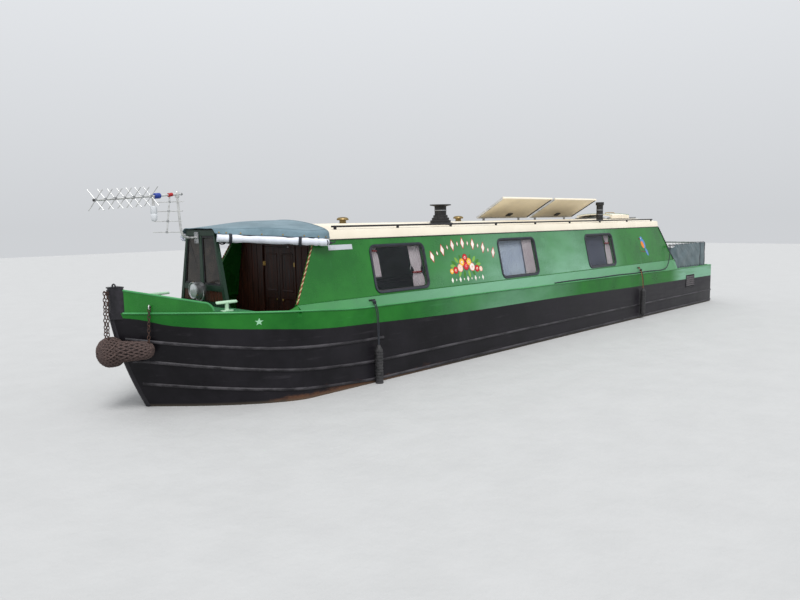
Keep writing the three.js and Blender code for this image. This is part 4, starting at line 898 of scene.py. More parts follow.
def hull_bow():
    build = Build()
    shares = [(i / 34) ** 1.35 for i in range(35)]
    outer = [[bow_point(s, level) for s in shares] for level in span(0, 1, 18)]
    build.both(outer, "hull")
    stem = [row[0] for row in outer]
    build.grid([stem, sided(stem, -1)], "black")
    build.tube([(x - 0.006, 0, max(z, 0.035)) for x, _, z in stem], 0.034, "black", 12)
    top = span(BOW_SPLIT_X, WELL_FRONT_X, 8)
    coaming = [edge_point(x, WALL) for x in top]
    build.both([[edge_point(x), inner] for x, inner in zip(top, coaming)], "hull")
    wall = [[(x, half_breadth(x, z) - WALL, z) for x in top] for z in span(WELL_FLOOR_Z, 1, 3)]
    build.both([*wall, coaming], "deck")
    front = [across(WELL_FRONT_X, z, WALL) for z in span(WELL_FLOOR_Z, sheer(WELL_FRONT_X), 4)]
    build.grid(front, "deck")
    build.grid([across(x, sheer(x)) for x in span(WELL_FRONT_X, DECK_END_X, 14)], "hull")
    build.grid([across(BOW_SPLIT_X, z) for z in span(LOW_Z, WELL_FLOOR_Z, 3)], "black")
    for strake in STRAKES:
        end = stem_x(strake_z(strake, 6.1)) - 0.03
        build.both(strake_rows(strake, span(BOW_SPLIT_X, end, 30)), "rubbed_and_sheen")
    bulwark(build)
    stem_head(build)
    bead = [edge_point(x, -0.001) for x in span(BOW_SPLIT_X, 6.25, 30)]
    for side in SIDES:
        build.tube(sided(bead, side), 0.009, "bead", 8)
    build.make("bow_plating", slot="hull_paint", replaces=["hull_bow"])


def bulwark_top(x):
    if x >= BULWARK_X:
        return BULWARK_Z + (x - BULWARK_X) / (BOW_X - BULWARK_X) * (STEM_TOP_Z - BULWARK_Z)
    drop = (BULWARK_X - x) / 0.08
    return sheer(x) + (BULWARK_Z - sheer(x)) * math.sqrt(max(0.0, 1 - drop**2))


def bulwark(build):
    """The upstand on each bow, with a rounded rear end and a bead along its top."""
    rows = []
    bead = []
    for x in [5.601, 5.603, 5.608, 5.616, 5.628, 5.645, 5.665, 5.69, *span(5.75, 6.235, 8)]:
        y = half_breadth(x, sheer(x)) - 0.012
        low, top = sheer(x) - 0.01, bulwark_top(x)
        rows.append([(x, y, low), (x, y, top), (x, y - 0.014, top), (x, y - 0.014, low)])
        bead.append((x, y - 0.007, top))
    build.both(rows, "green", loop=True)
    for side in SIDES:
        build.tube(sided(bead, side), 0.0105, "bead", 8)


def stem_head(build):
    outline = [(6.23, 0.112), (6.262, 0.094), (6.29, 0.066), (6.316, 0.046), (6.33, 0.03)]
    ring = outline + [(x, -y) for x, y in outline[::-1]]
    build.solid([raised(ring, z) for z in (sheer(BOW_X) - 0.06, 1.6, 1.738)], "black")
    cap = [(x + 0.012 if x > 6.3 else x - 0.02, y * 0.62 + math.copysign(0.01, y)) for x, y in ring]
    build.solid([raised(cap, z) for z in (1.737, 1.745, 1.749)], "black")
    hoop = [(6.275, 0.036 * math.cos(t), 1.748 + 0.026 * math.sin(t)) for t in span(0, math.pi, 8)]
    build.tube(hoop, 0.008, "black", 8)


def hull_side(side):
    build = Build()
    rows = []
    for x in [SIDE_FRONT_X, 4.7, 4.4, 4.1, *span(3.5, SIDE_REAR_X, 14)]:
        outer = [(x, half_breadth(x, z), z) for z in (LOW_Z, 0.27, 0.5, 0.6, 0.8, 1.0, 1.15)]
        inner = [(x, LINING_Y, CABIN_BASE_Z), (x, FLANGE_Y, CABIN_BASE_Z), (x, FLANGE_Y, 1.455),
                 (x, HALF_BEAM - WALL, 1.4), (x, HALF_BEAM - WALL, LOW_Z)]
        rows.append([*outer, edge_point(x), *inner])
    build.solid(rows, "hull")
    for strake in STRAKES:
        end = max(strake["end"], SIDE_REAR_X)
        build.grid(strake_rows(strake, span(SIDE_FRONT_X, end, 60)), "rubbed_and_sheen")
    build.tube([edge_point(x, -0.001) for x in span(SIDE_FRONT_X, SIDE_REAR_X, 30)], 0.008, "bead", 8)
    build.verts = sided(build.verts, side)
    name = SIDES[side]
    build.make(f"side_plating_{name}", slot="hull_paint", replaces=[f"hull_side_{name}"], angle=22)


def counter_path(inset):
    """The counter's edge from the cabin round to the middle of the stern, as (x, y) points."""
    radius = COUNTER_RADIUS - inset
    centre = (STERN_X + COUNTER_RADIUS, HALF_BEAM - COUNTER_RADIUS)
    path = [(x, HALF_BEAM - inset) for x in span(STERN_SPLIT_X, centre[0], 6)]
    path += [(centre[0] - radius * math.sin(t), centre[1] + radius * math.cos(t))
             for t in span(0, math.pi / 2, 14)[1:]]
    return path + [(STERN_X + inset, y) for y in span(centre[1], 0, 3)[1:]]


def hull_stern():
    build = Build()
    edge = counter_path(0)
    rim = counter_path(0.06)
    plate = [[(x, y, COUNTER_Z + (sheer(x) - COUNTER_Z) * v) for x, y in edge] for v in span(0, 1, 6)]
    build.both(plate, "hull")
    top = plate[-1]
    inner = [(x, y, sheer(x)) for x, y in rim]
    build.both([top, inner], "hull")
    build.both([inner, raised(rim, DECK_UNDER_Z)], "green")
    swim = [(x, swim_half(x)) for x in span(STERN_SPLIT_X, SWIM_END_X, 16)]
    build.both([raised(swim, z) for z in (LOW_Z, 0.24, COUNTER_Z)], "hull")
    build.grid([[(SWIM_END_X, s * STEM_HALF, z) for s in (-1, 1)] for z in (LOW_Z, COUNTER_Z)], "hull")
    under = [(x, swim_half(x) if x > SWIM_END_X else 0.0) for x, y in edge]
    build.both([raised(edge, COUNTER_Z), raised(under, COUNTER_Z)], "hull")
    engine_bay(build)
    for strake in STRAKES[1:]:
        counter_strake(build, strake, edge[:-3])
    strip = []
    for x in (STERN_SPLIT_X, -4.34, -4.6):
        strip.append([(x, HALF_BEAM - 0.001, sheer(x)), (x, LINING_Y, CABIN_BASE_Z),
                      (x, FLANGE_Y, CABIN_BASE_Z), (x, FLANGE_Y, sheer(x) - 0.02)])
    build.both(strip, "hull", loop=True)
    build.add(strip[-1], [(0, 1, 2, 3)], "green")
    build.add(sided(strip[-1], -1), [(3, 2, 1, 0)], "green")
    build.tube(top + sided(top[-2::-1], -1), 0.008, "bead", 8)
    for side in SIDES:
        louvres(build, side)
    build.make("stern_plating", slot="hull_paint", replaces=["hull_stern"])


def counter_strake(build, strake, edge):
    """A rubbing strake that flattens as it goes round the counter's corner."""
    rows = []
    for x, y in edge:
        z = strake_z(strake, x)
        bend = max(0.0, STERN_X + COUNTER_RADIUS - x) / COUNTER_RADIUS
        out = Vector((-bend, math.sqrt(max(0.0, 1 - bend**2)), 0))
        proud = 0.015 * (1 - bend) + 0.009
        rows.append([Vector((x, y, z + STRAKE_HALF * math.cos(t))) + out * (proud * math.sin(t) - STRAKE_SUNK)
                     for t in span(0, math.pi, 6)])
    build.both(rows, "rubbed_and_sheen")


def engine_bay(build):
    front, rear, floor, ledge = BAY
    half = HALF_BEAM - WALL
    corners = [(front, half), (front, -half), (rear, -half), (rear, half)]
    build.grid([raised(corners, z) for z in (ledge, DECK_UNDER_Z)], "black", loop=True)
    xs = span(front, rear, 8)
    low = [(x, max(0.02, swim_half(x) - WALL)) for x in xs]
    build.both([raised(low, floor), raised(low, ledge)], "black")
    build.both([raised(low, floor), [(x, 0, floor) for x in xs]], "black")
    build.both([raised(low, ledge), [(x, half, ledge) for x in xs]], "black")
    build.box((front, -half, 0.1), (STERN_SPLIT_X, half, DECK_UNDER_Z), "black")


def louvres(build, side):
    """Air vent in the side of the engine bay: slats that lean out over each other in a frame, over a
    near-black plate of painted shade.
    """
    y = HALF_BEAM
    rear, front, low, high = VENT
    near, far = sorted((side * y, side * (y + 0.001)))
    build.box((rear + 0.01, near, low + 0.01), (front - 0.01, far, high - 0.01), "vent_dark")
    profile = ((-0.002, 0.024), (0.012, -0.008), (0.012, -0.016), (0.008, -0.015), (-0.002, -0.006))
    for z in span(low + 0.045, high - 0.045, 4):
        ring = [(side * (y + off), z + rise) for off, rise in profile]
        build.prism(ring, (rear + 0.01, front - 0.01), "slat")
    rows = []
    bar = ((0.0, -0.002), (0.0, 0.006), (0.002, 0.008), (0.010, 0.008), (0.012, 0.006), (0.012, -0.002))
    for inset, off in bar:
        outline = rounded(rear + inset, front - inset, low + inset, high - inset, 0.012, 3)
        rows.append([(x, side * (y + off), z) for x, z in outline])
    build.grid(rows, "black", loop=True)


def hull_star():
    """A small pale star painted on the green band at each bow."""
    build = Build()
    points = []
    for i in range(10):
        x, z = turned(*STAR_AT, 0.017 if i % 2 else 0.04, 0, math.pi / 2 + i * math.pi / 5)
        points.append((x, half_breadth(x, z), z))
    for side in SIDES:
        build.solid([[(x, side * (y + off), z) for x, y, z in points] for off in (-0.002, 0.0022)], "star")
    build.make("bow_star", slot="hull_paint", weld=False)


# Cabin


def window_ring(front, inset, off, side):
    """The window's outline, moved in by the inset and off the cabin side."""
    rear, low, high = front - WINDOW_WIDTH + inset, WINDOW_LOW + inset, WINDOW_HIGH - inset
    outline = rounded(rear, front - inset, low, high, max(0.02, WINDOW_CORNER - inset))
    return sided([on_side(x, z, off) for x, z in outline], side)


def window(side, number):
    front = WINDOW_FRONTS[number]
    name = f"{SIDES[side]}_{number + 1}"
    build = Build()
    build.grid([window_ring(front, *p, side) for p in FRAME_PROFILE], "window_frame", loop=True)
    build.grid([window_ring(front, *p, side) for p in SEAL_PROFILE], "rubber", loop=True)
    build.solid([window_ring(front, 0.0255, off, side) for off in (-0.009, -0.005)], "glass")
    rail = [on_side(x, WINDOW_HIGH - 0.012, -0.052) for x in (front + 0.03, front - WINDOW_WIDTH - 0.03)]
    build.tube(sided(rail, side), 0.005, "brass", 8)
    piece = build.make(f"window_{name}_dressed", slot="window_glass", replaces=[f"window_{name}"], angle=40)
    for i, facts in enumerate(CURTAINS):
        if facts["window"] == number:
            curtain(side, front, f"curtain_{name}_{i}", facts, piece)


def curtain(side, front, name, facts, window_piece):
    """A gathered curtain hung from the rail behind the window."""
    top, low, width, tie = WINDOW_HIGH - 0.014, facts["low"], facts["width"], facts["tie"]
    folds = max(3, round(width / 0.036))
    columns = folds * 8
    rows = []
    tied = []
    for v in span(0, 1, 22):
        pinch = 1.0 if tie is None else 1 - 0.42 * math.exp(-(((v - tie) / 0.1) ** 2))
        row = []
        for i in range(columns + 1):
            u = i / columns
            x = front - facts["start"] - width * (0.5 + (u - 0.5) * pinch)
            wave = math.sin(u * folds * 2 * math.pi + 0.8 * math.sin(3 * v + 5 * u))
            row.append(on_side(x, top + (low - top) * v, 0.007 * wave - facts["depth"] - 0.006 * v))
        rows.append(sided(row, side))
        if tie is not None and abs(v - tie) < 0.05:
            tied.append(rows[-1])
    build = Build()
    build.grid(rows, facts["cloth"])
    ties = []
    if tied:
        band = Build()
        centre = tied[len(tied) // 2]
        reach = abs(centre[0][0] - centre[-1][0]) / 2 + 0.006
        loop = ellipse(centre[columns // 2], (reach, 0, 0), (0, 0.021 * side, 0), 24)
        band.tube(loop, 0.011, "red", 8, closed=True)
        ties = [band.make(f"{name}_tie", slot="canvas").name]
    flat = (area_of(rows) / (top - low), top - low)
    cloth(build, name, flat, "gathered", [window_piece.name], 0.0015, ties)


def cabin_trim(side):
    """Twisted trim down the front edge, beads down the rear edge, plate and thin lines on one cabin side."""
    build = Build()
    front = []
    rear = []
    for t in span(0, 1, 90):
        z = CABIN_BASE_Z + 0.004 + (CABIN_TOP_Z - CABIN_BASE_Z - 0.01) * t
        front.append(Vector((CABIN_FRONT_X - FRONT_RAKE * t + 0.006, cabin_y(z) - 0.012, z)))
        rear.append(Vector((CABIN_REAR_X + REAR_RAKE * t - 0.006, cabin_y(z) + 0.001, z)))
    for strand, key in enumerate(("twist_red", "twist_cream")):
        path = []
        for i, point in enumerate(front):
            turn = i * 0.8 + strand * math.pi
            path.append(point + Vector((math.cos(turn) * 0.005, math.sin(turn) * 0.005, 0)))
        build.tube(sided(path, side), 0.0062, key, 6)
    beads = [0.006 + 0.008 * abs(math.sin(i * math.pi / 5)) for i in range(len(rear))]
    build.tube(sided(rear, side), beads, "black", 8)
    line = [(x, cabin_y(CABIN_TOP_Z) + 0.003, CABIN_TOP_Z + 0.0045) for x in span(4.41, -4.135, 20)]
    build.tube(sided(line, side), 0.0048, "black", 8)
    x0, x1, low, high = PLATE
    outline = ((x0, low), (x1, low), (x1, high), (x0, high))
    build.solid([sided([on_side(x, z, off) for x, z in outline], side) for off in (0.0005, 0.0035)], "plate")
    seat = [(x, CABIN_BASE_Y + 0.004, CABIN_BASE_Z + 0.003) for x in span(4.76, -4.55, 30)]
    build.tube(sided(seat, side), 0.0045, "green", 6)
    fillet = [(4.768, 0.985, 1.438), (4.768, LINING_Y, 1.487), (4.90, 0.962, 1.446)]
    build.solid([sided([(x, y + dy, z) for x, y, z in fillet], side) for dy in (0, 0.008)], "green")
    build.make(f"cabin_trim_{SIDES[side]}", slot="cabin_paint")


# Painted ornament, laid flat on the cabin side


def flat_shape(build, side, points, off, key):
    build.solid([sided([on_side(x, z, h) for x, z in points], side) for h in (-0.0005, off)], key)


def disc(cx, cz, radius, squash=1.0, turn=0.0):
    return [turned(cx, cz, radius * math.cos(t), radius * squash * math.sin(t), turn) for t in circle(18)]


def leaf(cx, cz, length, turn):
    points = []
    for t in circle(16):
        b = length * 0.22 * math.sin(t) * abs(math.sin(t)) ** 0.4
        points.append(turned(cx, cz, length / 2 * math.cos(t), b, turn))
    return points


def lozenge(cx, cz, wide, high, tilt=0.0):
    return [turned(cx, cz, a, b, tilt) for a, b in ((0, high), (wide, 0), (0, -high), (-wide, 0))]


def rose(build, side, cx, cz, radius, keys):
    """A round flower of overlapping petals."""
    flat_shape(build, side, disc(cx, cz, radius), 0.0012, keys[0])
    # Petals: how many, first turn, reach, size and squash as shares, height, colour
    for count, first, reach, size, squash, off, key in (
        (6, 0.3, 0.58, 0.40, 0.72, 0.0016, keys[1]), (3, 0.0, 0.22, 0.24, 0.6, 0.0021, keys[2])
    ):
        for i in range(count):
            turn = i * 2 * math.pi / count + first
            petal = disc(*turned(cx, cz, reach * radius, 0, turn), size * radius, squash, turn + math.pi / 2)
            flat_shape(build, side, petal, off + i * 0.00005, key)
    flat_shape(build, side, disc(cx, cz, 0.12 * radius), 0.0024, keys[0])


def ornament(side):
    """A mound of roses on leaves, under an arch of lozenges and over a row of small ones."""
    build = Build()
    for i, t in enumerate(circle(17)):
        turn = t + 0.1
        place = (ROSES_AT[0] + 0.27 * math.cos(turn), ROSES_AT[1] + 0.11 * math.sin(turn))
        flat_shape(build, side, leaf(*place, 0.10, turn), 0.0008, "leaf" if i % 2 else "leaf_pale")
    for cx, cz, radius, keys in SPRAY:
        rose(build, side, cx, cz, radius, keys)
    front, length, foot, rise = ARCH
    for i, share in enumerate(span(0, 1, 12)):
        place = (front - length * share, foot + rise * math.sin(math.pi * share))
        size = 0.022 if i % 2 else 0.052
        for off, scale, key in ((0.0008, 1.25, "rose_red"), (0.0013, 1.0, "white")):
            points = lozenge(*place, scale * size * 0.62, scale * size * 1.25, 0.55 * (share - 0.5))
            flat_shape(build, side, points, off, key)
    for i in range(9):
        size = 0.018 if i % 2 else 0.036
        flat_shape(build, side, lozenge(2.25 - 0.08 * i, 1.565, size * 0.6, size), 0.0010, "white")
    bird(build, side)
    build.make(f"painted_ornament_{SIDES[side]}", slot="cabin_paint", weld=False)


def bird(build, side):
    """A small perched songbird of plain rounded shapes on a twig."""
    cx, cz = BIRD_AT
    shapes = (
        (disc(cx, cz - 0.15, 0.17, 0.05, 0.1), "twig"),
        (leaf(cx + 0.13, cz - 0.10, 0.10, 0.7), "leaf"),
        (leaf(cx - 0.10, cz - 0.16, 0.17, 1.0), "blue"),
        (disc(cx, cz, 0.105, 0.66, 0.9), "blue"),
        (disc(cx + 0.03, cz - 0.02, 0.075, 0.6, 0.95), "orange"),
        (disc(cx + 0.055, cz + 0.085, 0.05, 0.9, 0.4), "blue"),
        (leaf(cx + 0.115, cz + 0.09, 0.07, 0.1), "twig"),
        (disc(cx + 0.065, cz + 0.095, 0.009), "white"),
    )
    for i, (points, key) in enumerate(shapes):
        flat_shape(build, side, points, 0.0008 + i * 0.0003, key)


def door(side, place, face, out, low, high, key):
    """One leaf of a pair of doors with mouldings, knob and its halves of the hinges."""
    name = f"{place}_door_{SIDES[side]}"
    build = Build()
    inner = face - out * DOOR_THICK
    ring = [(side * y, z) for y, z in rounded(*DOOR_EDGES, low, high, 0.004, 2)]
    build.prism(ring, (inner, face), key)
    height = high - low
    for z0, z1 in ((low + 0.07, low + height * 0.52), (low + height * 0.58, high - 0.07)):
        for x, way in ((face, out), (inner, -out)):
            rows = []
            for inset, rise in ((0, 0.0), (0.004, 0.005), (0.011, 0.0055), (0.018, 0.001), (0.022, -0.0005)):
                outline = rounded(0.045 + inset, 0.264 - inset, z0 + inset, z1 - inset, 0.012, 3)
                rows.append([(x + way * rise, side * y, z) for y, z in outline])
            build.grid(rows, key, loop=True)
    knob = [(0.0, 0.014), (0.009, 0.0135), (0.014, 0.009), (0.013, 0.004), (0.006, 0.001), (0.012, 0.0),
            (0.012, -0.002)]
    build.lathe(knob, (face, side * 0.06, low + height / 2), (out, 0, 0), "brass", 20)
    barrel = [(0.0, 0.0005), (0.008, 0.0005), (0.008, 0.05), (0.005, 0.052), (0, 0.052)]
    xs = sorted((face, face + out * 0.005))
    ys = sorted((side * 0.2785, side * 0.3075))
    for share in (0.18, 0.82):
        z = low + share * height
        build.lathe(barrel, (face + out * 0.008, side * 0.3085, z), (0, 0, 1), "brass", 14)
        build.box((xs[0], ys[0], z + 0.0005), (xs[1], ys[1], z + 0.05), "brass")
    build.make(f"{name}_leaf", body=name, slot="stained_wood", replaces=[name], angle=35)


def bulkhead_boards():
    """Raised boards and a light strip on the wooden bulkhead behind the well deck."""
    build = Build()
    for side in SIDES:
        for i in range(5):
            y0 = 0.330 + i * 0.112
            y1 = min(y0 + 0.104, 0.83)
            top = min(2.13, CABIN_BASE_Z + (0.893 - y1) / CABIN_LEAN)
            ring = [(side * y, z) for y, z in ((y0, 0.78), (y1, 0.78), (y1, top), (y0, top))]
            build.prism(ring, (BULKHEAD_X - 0.001, BULKHEAD_X + 0.011), "wood")
        ring = [(0.313, 0.80), (0.325, 0.80), (0.325, 2.09), (0.313, 2.09)]
        build.prism([(side * y, z) for y, z in ring], (BULKHEAD_X - 0.001, BULKHEAD_X + 0.018), "plank")
    build.make("bulkhead_boarding", slot="stained_wood", bevel=0.002)


# Roof


def roof():
    build = Build()
    wing = span(NOTCH_Y, ROOF_EDGE_Y, 8)
    sides = [wing, [-y for y in reversed(wing)]]
    ys = [*sides[1], *span(-NOTCH_Y, NOTCH_Y, 12)[1:-1], *wing]
    main = span(ROOF_FRONT_X, NOTCH_FRONT_X, 26)
    aft = span(NOTCH_FRONT_X, ROOF_REAR_X, 3)
    for depth in (0, ROOF_THICK):
        for xs, part in ((main, ys), (aft, sides[0]), (aft, sides[1])):
            build.grid([[(x, y, roof_z(y) - depth) for y in part] for x in xs], "roof")
    hole = span(-NOTCH_Y, NOTCH_Y, 12)
    ends = ((ROOF_FRONT_X, ys), (ROOF_REAR_X, sides[0]), (ROOF_REAR_X, sides[1]), (NOTCH_FRONT_X, hole))
    for x, part in ends:
        build.grid([[(x, y, roof_z(y) - depth) for y in part] for depth in (0, ROOF_THICK)], "cream")
    foot = cabin_y(CABIN_TOP_Z)
    band = [(ROOF_EDGE_Y - 0.012, roof_z(ROOF_EDGE_Y - 0.012) + 0.0005), (ROOF_EDGE_Y, ROOF_EDGE_Z + 0.001),
            (ROOF_EDGE_Y + 0.004, ROOF_EDGE_Z - 0.006), (foot, CABIN_TOP_Z + 0.0003),
            (foot - 0.045, CABIN_TOP_Z + 0.0003), (ROOF_EDGE_Y - 0.045, ROOF_EDGE_Z - 0.05)]
    for side in SIDES:
        y = side * NOTCH_Y
        build.grid([[(x, y, roof_z(y) - depth) for x in aft] for depth in (0, ROOF_THICK)], "cream")
        build.prism([(side * y, z) for y, z in band], span(ROOF_FRONT_X, ROOF_REAR_X, 24), "cream")
        rear, front, y = RUNNERS
        build.box((rear, side * y - 0.008, 2.30), (front, side * y + 0.008, RUNNER_TOP), "steel")
    y, z = PANEL_AXIS
    for front in PANEL_FRONTS.values():
        for share in PANEL_HINGES:
            x = front - share * PANEL_LENGTH
            knuckle = [(0, -0.025), (0.009, -0.025), (0.009, 0.025), (0, 0.025)]
            build.lathe(knuckle, (x, y, z), (1, 0, 0), "steel", 16)
            build.box((x - 0.025, y - 0.006, 2.296), (x + 0.025, y + 0.006, z), "steel")
            build.box(*corners((x, y, roof_z(y)), (0.045, 0.03, 0.006)), "steel")
    for x in ROOF_VENTS:
        build.lathe(VENT_PROFILE, (x, 0, ROOF_CROWN_Z - 0.004), (0, 0, 1), "dull_brass", 32)
    build.make("roof_skin", slot="roof_paint", replaces=["cabin_roof"], angle=30)


def rear_hatch():
    half, low, side, rest = HATCH_HALF, RUNNER_TOP - 0.022, RUNNER_TOP + 0.04, RUNNER_TOP + 0.0003
    arch = [(s * half, side + 0.032 * (1 - abs(s) ** 2.2)) for s in span(1, -1, 14)]
    inner = half - 0.05
    lining = [(s * inner, side - 0.018 + 0.03 * (1 - abs(s) ** 2)) for s in span(-0.8, 0.8, 8)]
    ring = [(half - 0.022, low), (half, low), *arch, (-half, low), (0.022 - half, low), (0.022 - half, rest),
            (-inner, rest), (-inner, side - 0.018), *lining, (inner, side - 0.018), (inner, rest),
            (half - 0.022, rest)]
    build = Build()
    build.prism(ring, (HATCH_REAR_X, -3.3, HATCH_FRONT_X), "cream")
    for x in (HATCH_REAR_X + 0.005, HATCH_FRONT_X - 0.01):
        build.tube([(x, y, z + 0.002) for y, z in arch], 0.004, "green", 6)
    grip = ((-0.09, 2.414), (-0.088, 2.435), (0, 2.441), (0.088, 2.435), (0.09, 2.414))
    build.tube(smooth_path([(-3.72, y, z) for y, z in grip], 6), 0.006, "brass", 10)
    build.make("hatch_cover", body="rear_hatch", slot="roof_paint", replaces=["rear_hatch"], angle=30)


def flue(name, node, x, y, reach, profile, bands):
    base = roof_z(y + reach) - 0.002
    build = Build()
    build.lathe([(0.0, 0.0), *profile, (0.0, profile[-1][1])], (x, y, base), (0, 0, 1), "iron", 48)
    shape = ((-0.004, -0.006), (0.003, -0.006), (0.004, 0.0), (0.003, 0.006), (-0.004, 0.006))
    for radius, height in bands:
        build.lathe([(radius + a, b) for a, b in shape], (x, y, base + height), (0, 0, 1), "steel", 48)
    build.make(name, slot="stove_black", replaces=[node], angle=28)


def panel_point(x, y, z):
    """A point given along the panel, across it from its hinge and above its face, in the boat's frame."""
    c, s = math.cos(PANEL_TILT), math.sin(PANEL_TILT)
    return (x, PANEL_AXIS[0] + y * c - z * s, PANEL_AXIS[1] + y * s + z * c)


def panel_bar(build, x0, x1, y0, y1, z0, z1, key):
    """A bar of the panel, by its range along it, across it from the hinge and above its face."""
    ring = [(y0, z0), (y1, z0), (y1, z1), (y0, z1)]
    build.solid([[panel_point(x, y, z) for y, z in ring] for x in (x0, x1)], key)


def solar_panel(name):
    front = PANEL_FRONTS[name]
    rear = front - PANEL_LENGTH
    edge = 0.022
    far = PANEL_WIDTH - edge
    build = Build()
    for facts in (
        (rear, front, 0.016, 0.016 + edge, -0.024, 0.006, "alloy"),
        (rear, front, far, PANEL_WIDTH, -0.024, 0.006, "cream"),
        (rear, rear + edge, 0.038, far, -0.024, 0.006, "strap"),
        (front - edge, front, 0.038, far, -0.024, 0.006, "alloy"),
        (rear + edge, front - edge, 0.038, far, -0.014, -0.004, "panel_back"),
        (rear + edge, front - edge, 0.038, far, -0.0035, 0.0035, "cells"),
        (rear + 0.60, rear + 0.72, 0.09, 0.17, -0.032, -0.0145, "rubber"),
    ):
        panel_bar(build, *facts)
    for share in PANEL_HINGES:
        for way in (-1, 1):
            near = front - share * PANEL_LENGTH + way * 0.0256
            x0, x1 = sorted((near, near + way * 0.03))
            knuckle = [(0, 0), (0.009, 0), (0.009, 0.03), (0, 0.03)]
            build.lathe(knuckle, (x0, *PANEL_AXIS), (1, 0, 0), "steel", 16)
            panel_bar(build, x0, x1, 0.0, 0.03, -0.009, 0.006, "steel")
    body = f"solar_panel_{name}"
    build.make(f"panel_{name}", body=body, slot="roof_paint", replaces=[body], bevel=0.0015)


# Canvas


def canopy():
    """One sheet stretched from the cratch board over the ridge to the cabin roof."""
    stations = []
    for x, profile in CANOPY:
        half = [(x, y, z + DRAFT - 0.004) for y, z in profile]
        stations.append(smooth_path(sided(half[:0:-1], -1) + half, 7))
    rows = [list(column) for column in zip(*(smooth_path(column, 8) for column in zip(*stations)))]
    for r, row in enumerate(rows):
        for i, point in enumerate(row):
            share = abs(2 * i / (len(row) - 1) - 1)
            ripple = math.sin(point.x * 21 + share * 5) * 0.5 + math.sin(point.x * 47 - share * 9) * 0.3
            slack = math.sin(math.pi * r / (len(rows) - 1)) * math.sin(math.pi * min(1.0, share * 1.1))
            point.z -= 0.006 * slack + 0.003 * ripple * share**2
    build = Build()
    build.grid(rows, "canopy")
    trim = Build()
    last = len(rows[0]) - 1
    for i in (0, last):
        trim.tube([row[i] for row in rows], 0.0055, "canopy", 8)
    for row in (rows[0], rows[-1]):
        trim.tube([p + Vector((0, 0, 0.001)) for p in row], 0.005, "canopy", 8)
    for i in (7, last - 7):
        trim.tube([row[i] + Vector((0, 0, 0.0025)) for row in rows], 0.0022, "seam", 6)
    stud = [(0, 0.006), (0.006, 0.005), (0.0085, 0.0), (0.0085, -0.002)]
    for i, way in ((0, -1), (last, 1)):
        for row in rows[2::4]:
            trim.lathe(stud, row[i] + Vector((0, way * 0.003, 0.012)), (0, way, 0.4), "brass", 12)
    hem = trim.make("canopy_hem", slot="canvas", weld=False)
    flat = (length_of(rows[len(rows) // 2]) * 1.15, length_of([row[last // 2] for row in rows]))
    cloth(build, "canopy_cloth", flat, "stretched", ["cratch_ridge", "roof_skin"], 0.004, [hem.name],
          ["cratch_canopy"], area=min(area_of(rows) * 1.01, flat[0] * flat[1]))


def along_frames(path):
    """Points with a level sideways direction and the upward one square to the path."""
    frames = []
    for i, point in enumerate(path):
        tangent = (path[min(i + 1, len(path) - 1)] - path[max(i - 1, 0)]).normalized()
        side = tangent.cross(Vector((0, 0, 1))).normalized()
        frames.append((point, side, side.cross(tangent)))
    return frames


def curtain_roll(side):
    """The side curtain rolled up under the canopy's edge, a spiral of cloth held by straps."""
    path = smooth_path([(x, side * y, z + DRAFT - ROLL_DROP) for x, y, z in ROLL], 9)
    frames = along_frames(path)[:-3]
    turns, steps = 3.4, 84
    rows = []
    for r, (point, out, up) in enumerate(frames):
        row = []
        lump = 0.003 * math.sin(r * 0.9) + 0.002 * math.sin(r * 2.3 + side)
        for i in range(steps + 1):
            turn = 2 * math.pi * turns * i / steps
            pucker = 0.0025 * math.sin(r * 1.7 + 2 * turn) * i / steps
            reach = 0.012 + (ROLL_RADIUS - 0.014) * i / steps + lump * i / steps + pucker
            sag = 1.0 if math.sin(turn) > 0 else 1.04
            row.append(point + out * math.cos(turn) * reach * side + up * math.sin(turn) * reach * sag)
        rows.append(row)
    name = SIDES[side]
    build = Build()
    build.grid(rows, "pale")
    straps = Build()
    reach = ROLL_RADIUS + 0.004
    for x in (5.20, 4.58):
        point, out, up = min(frames, key=lambda f: abs(f[0].x - x))
        for shift in (-0.011, 0.0, 0.011):
            ring = ellipse(point + out.cross(up) * shift, out * reach, up * (reach + 0.004), 24)
            straps.tube(ring, 0.0062, "strap", 6, closed=True)
    straps.tube(path[-6:], [0.036, 0.037, 0.032, 0.024, 0.018, 0.010], "strap", 14)
    tail = [path[-1] + Vector(v) for v in ((0, 0, 0), (-0.035, 0, 0.004), (-0.05, 0, 0.022))]
    straps.tube(tail, 0.006, "strap", 8)
    ties = straps.make(f"curtain_straps_{name}", slot="canvas", weld=False)
    long = length_of(path[:-3])
    flat = (area_of(rows) / long, long)
    cloth(build, f"rolled_curtain_{name}", flat, "folded", ["canopy_cloth"], 0.003, [ties.name],
          [f"curtain_roll_{name}"])


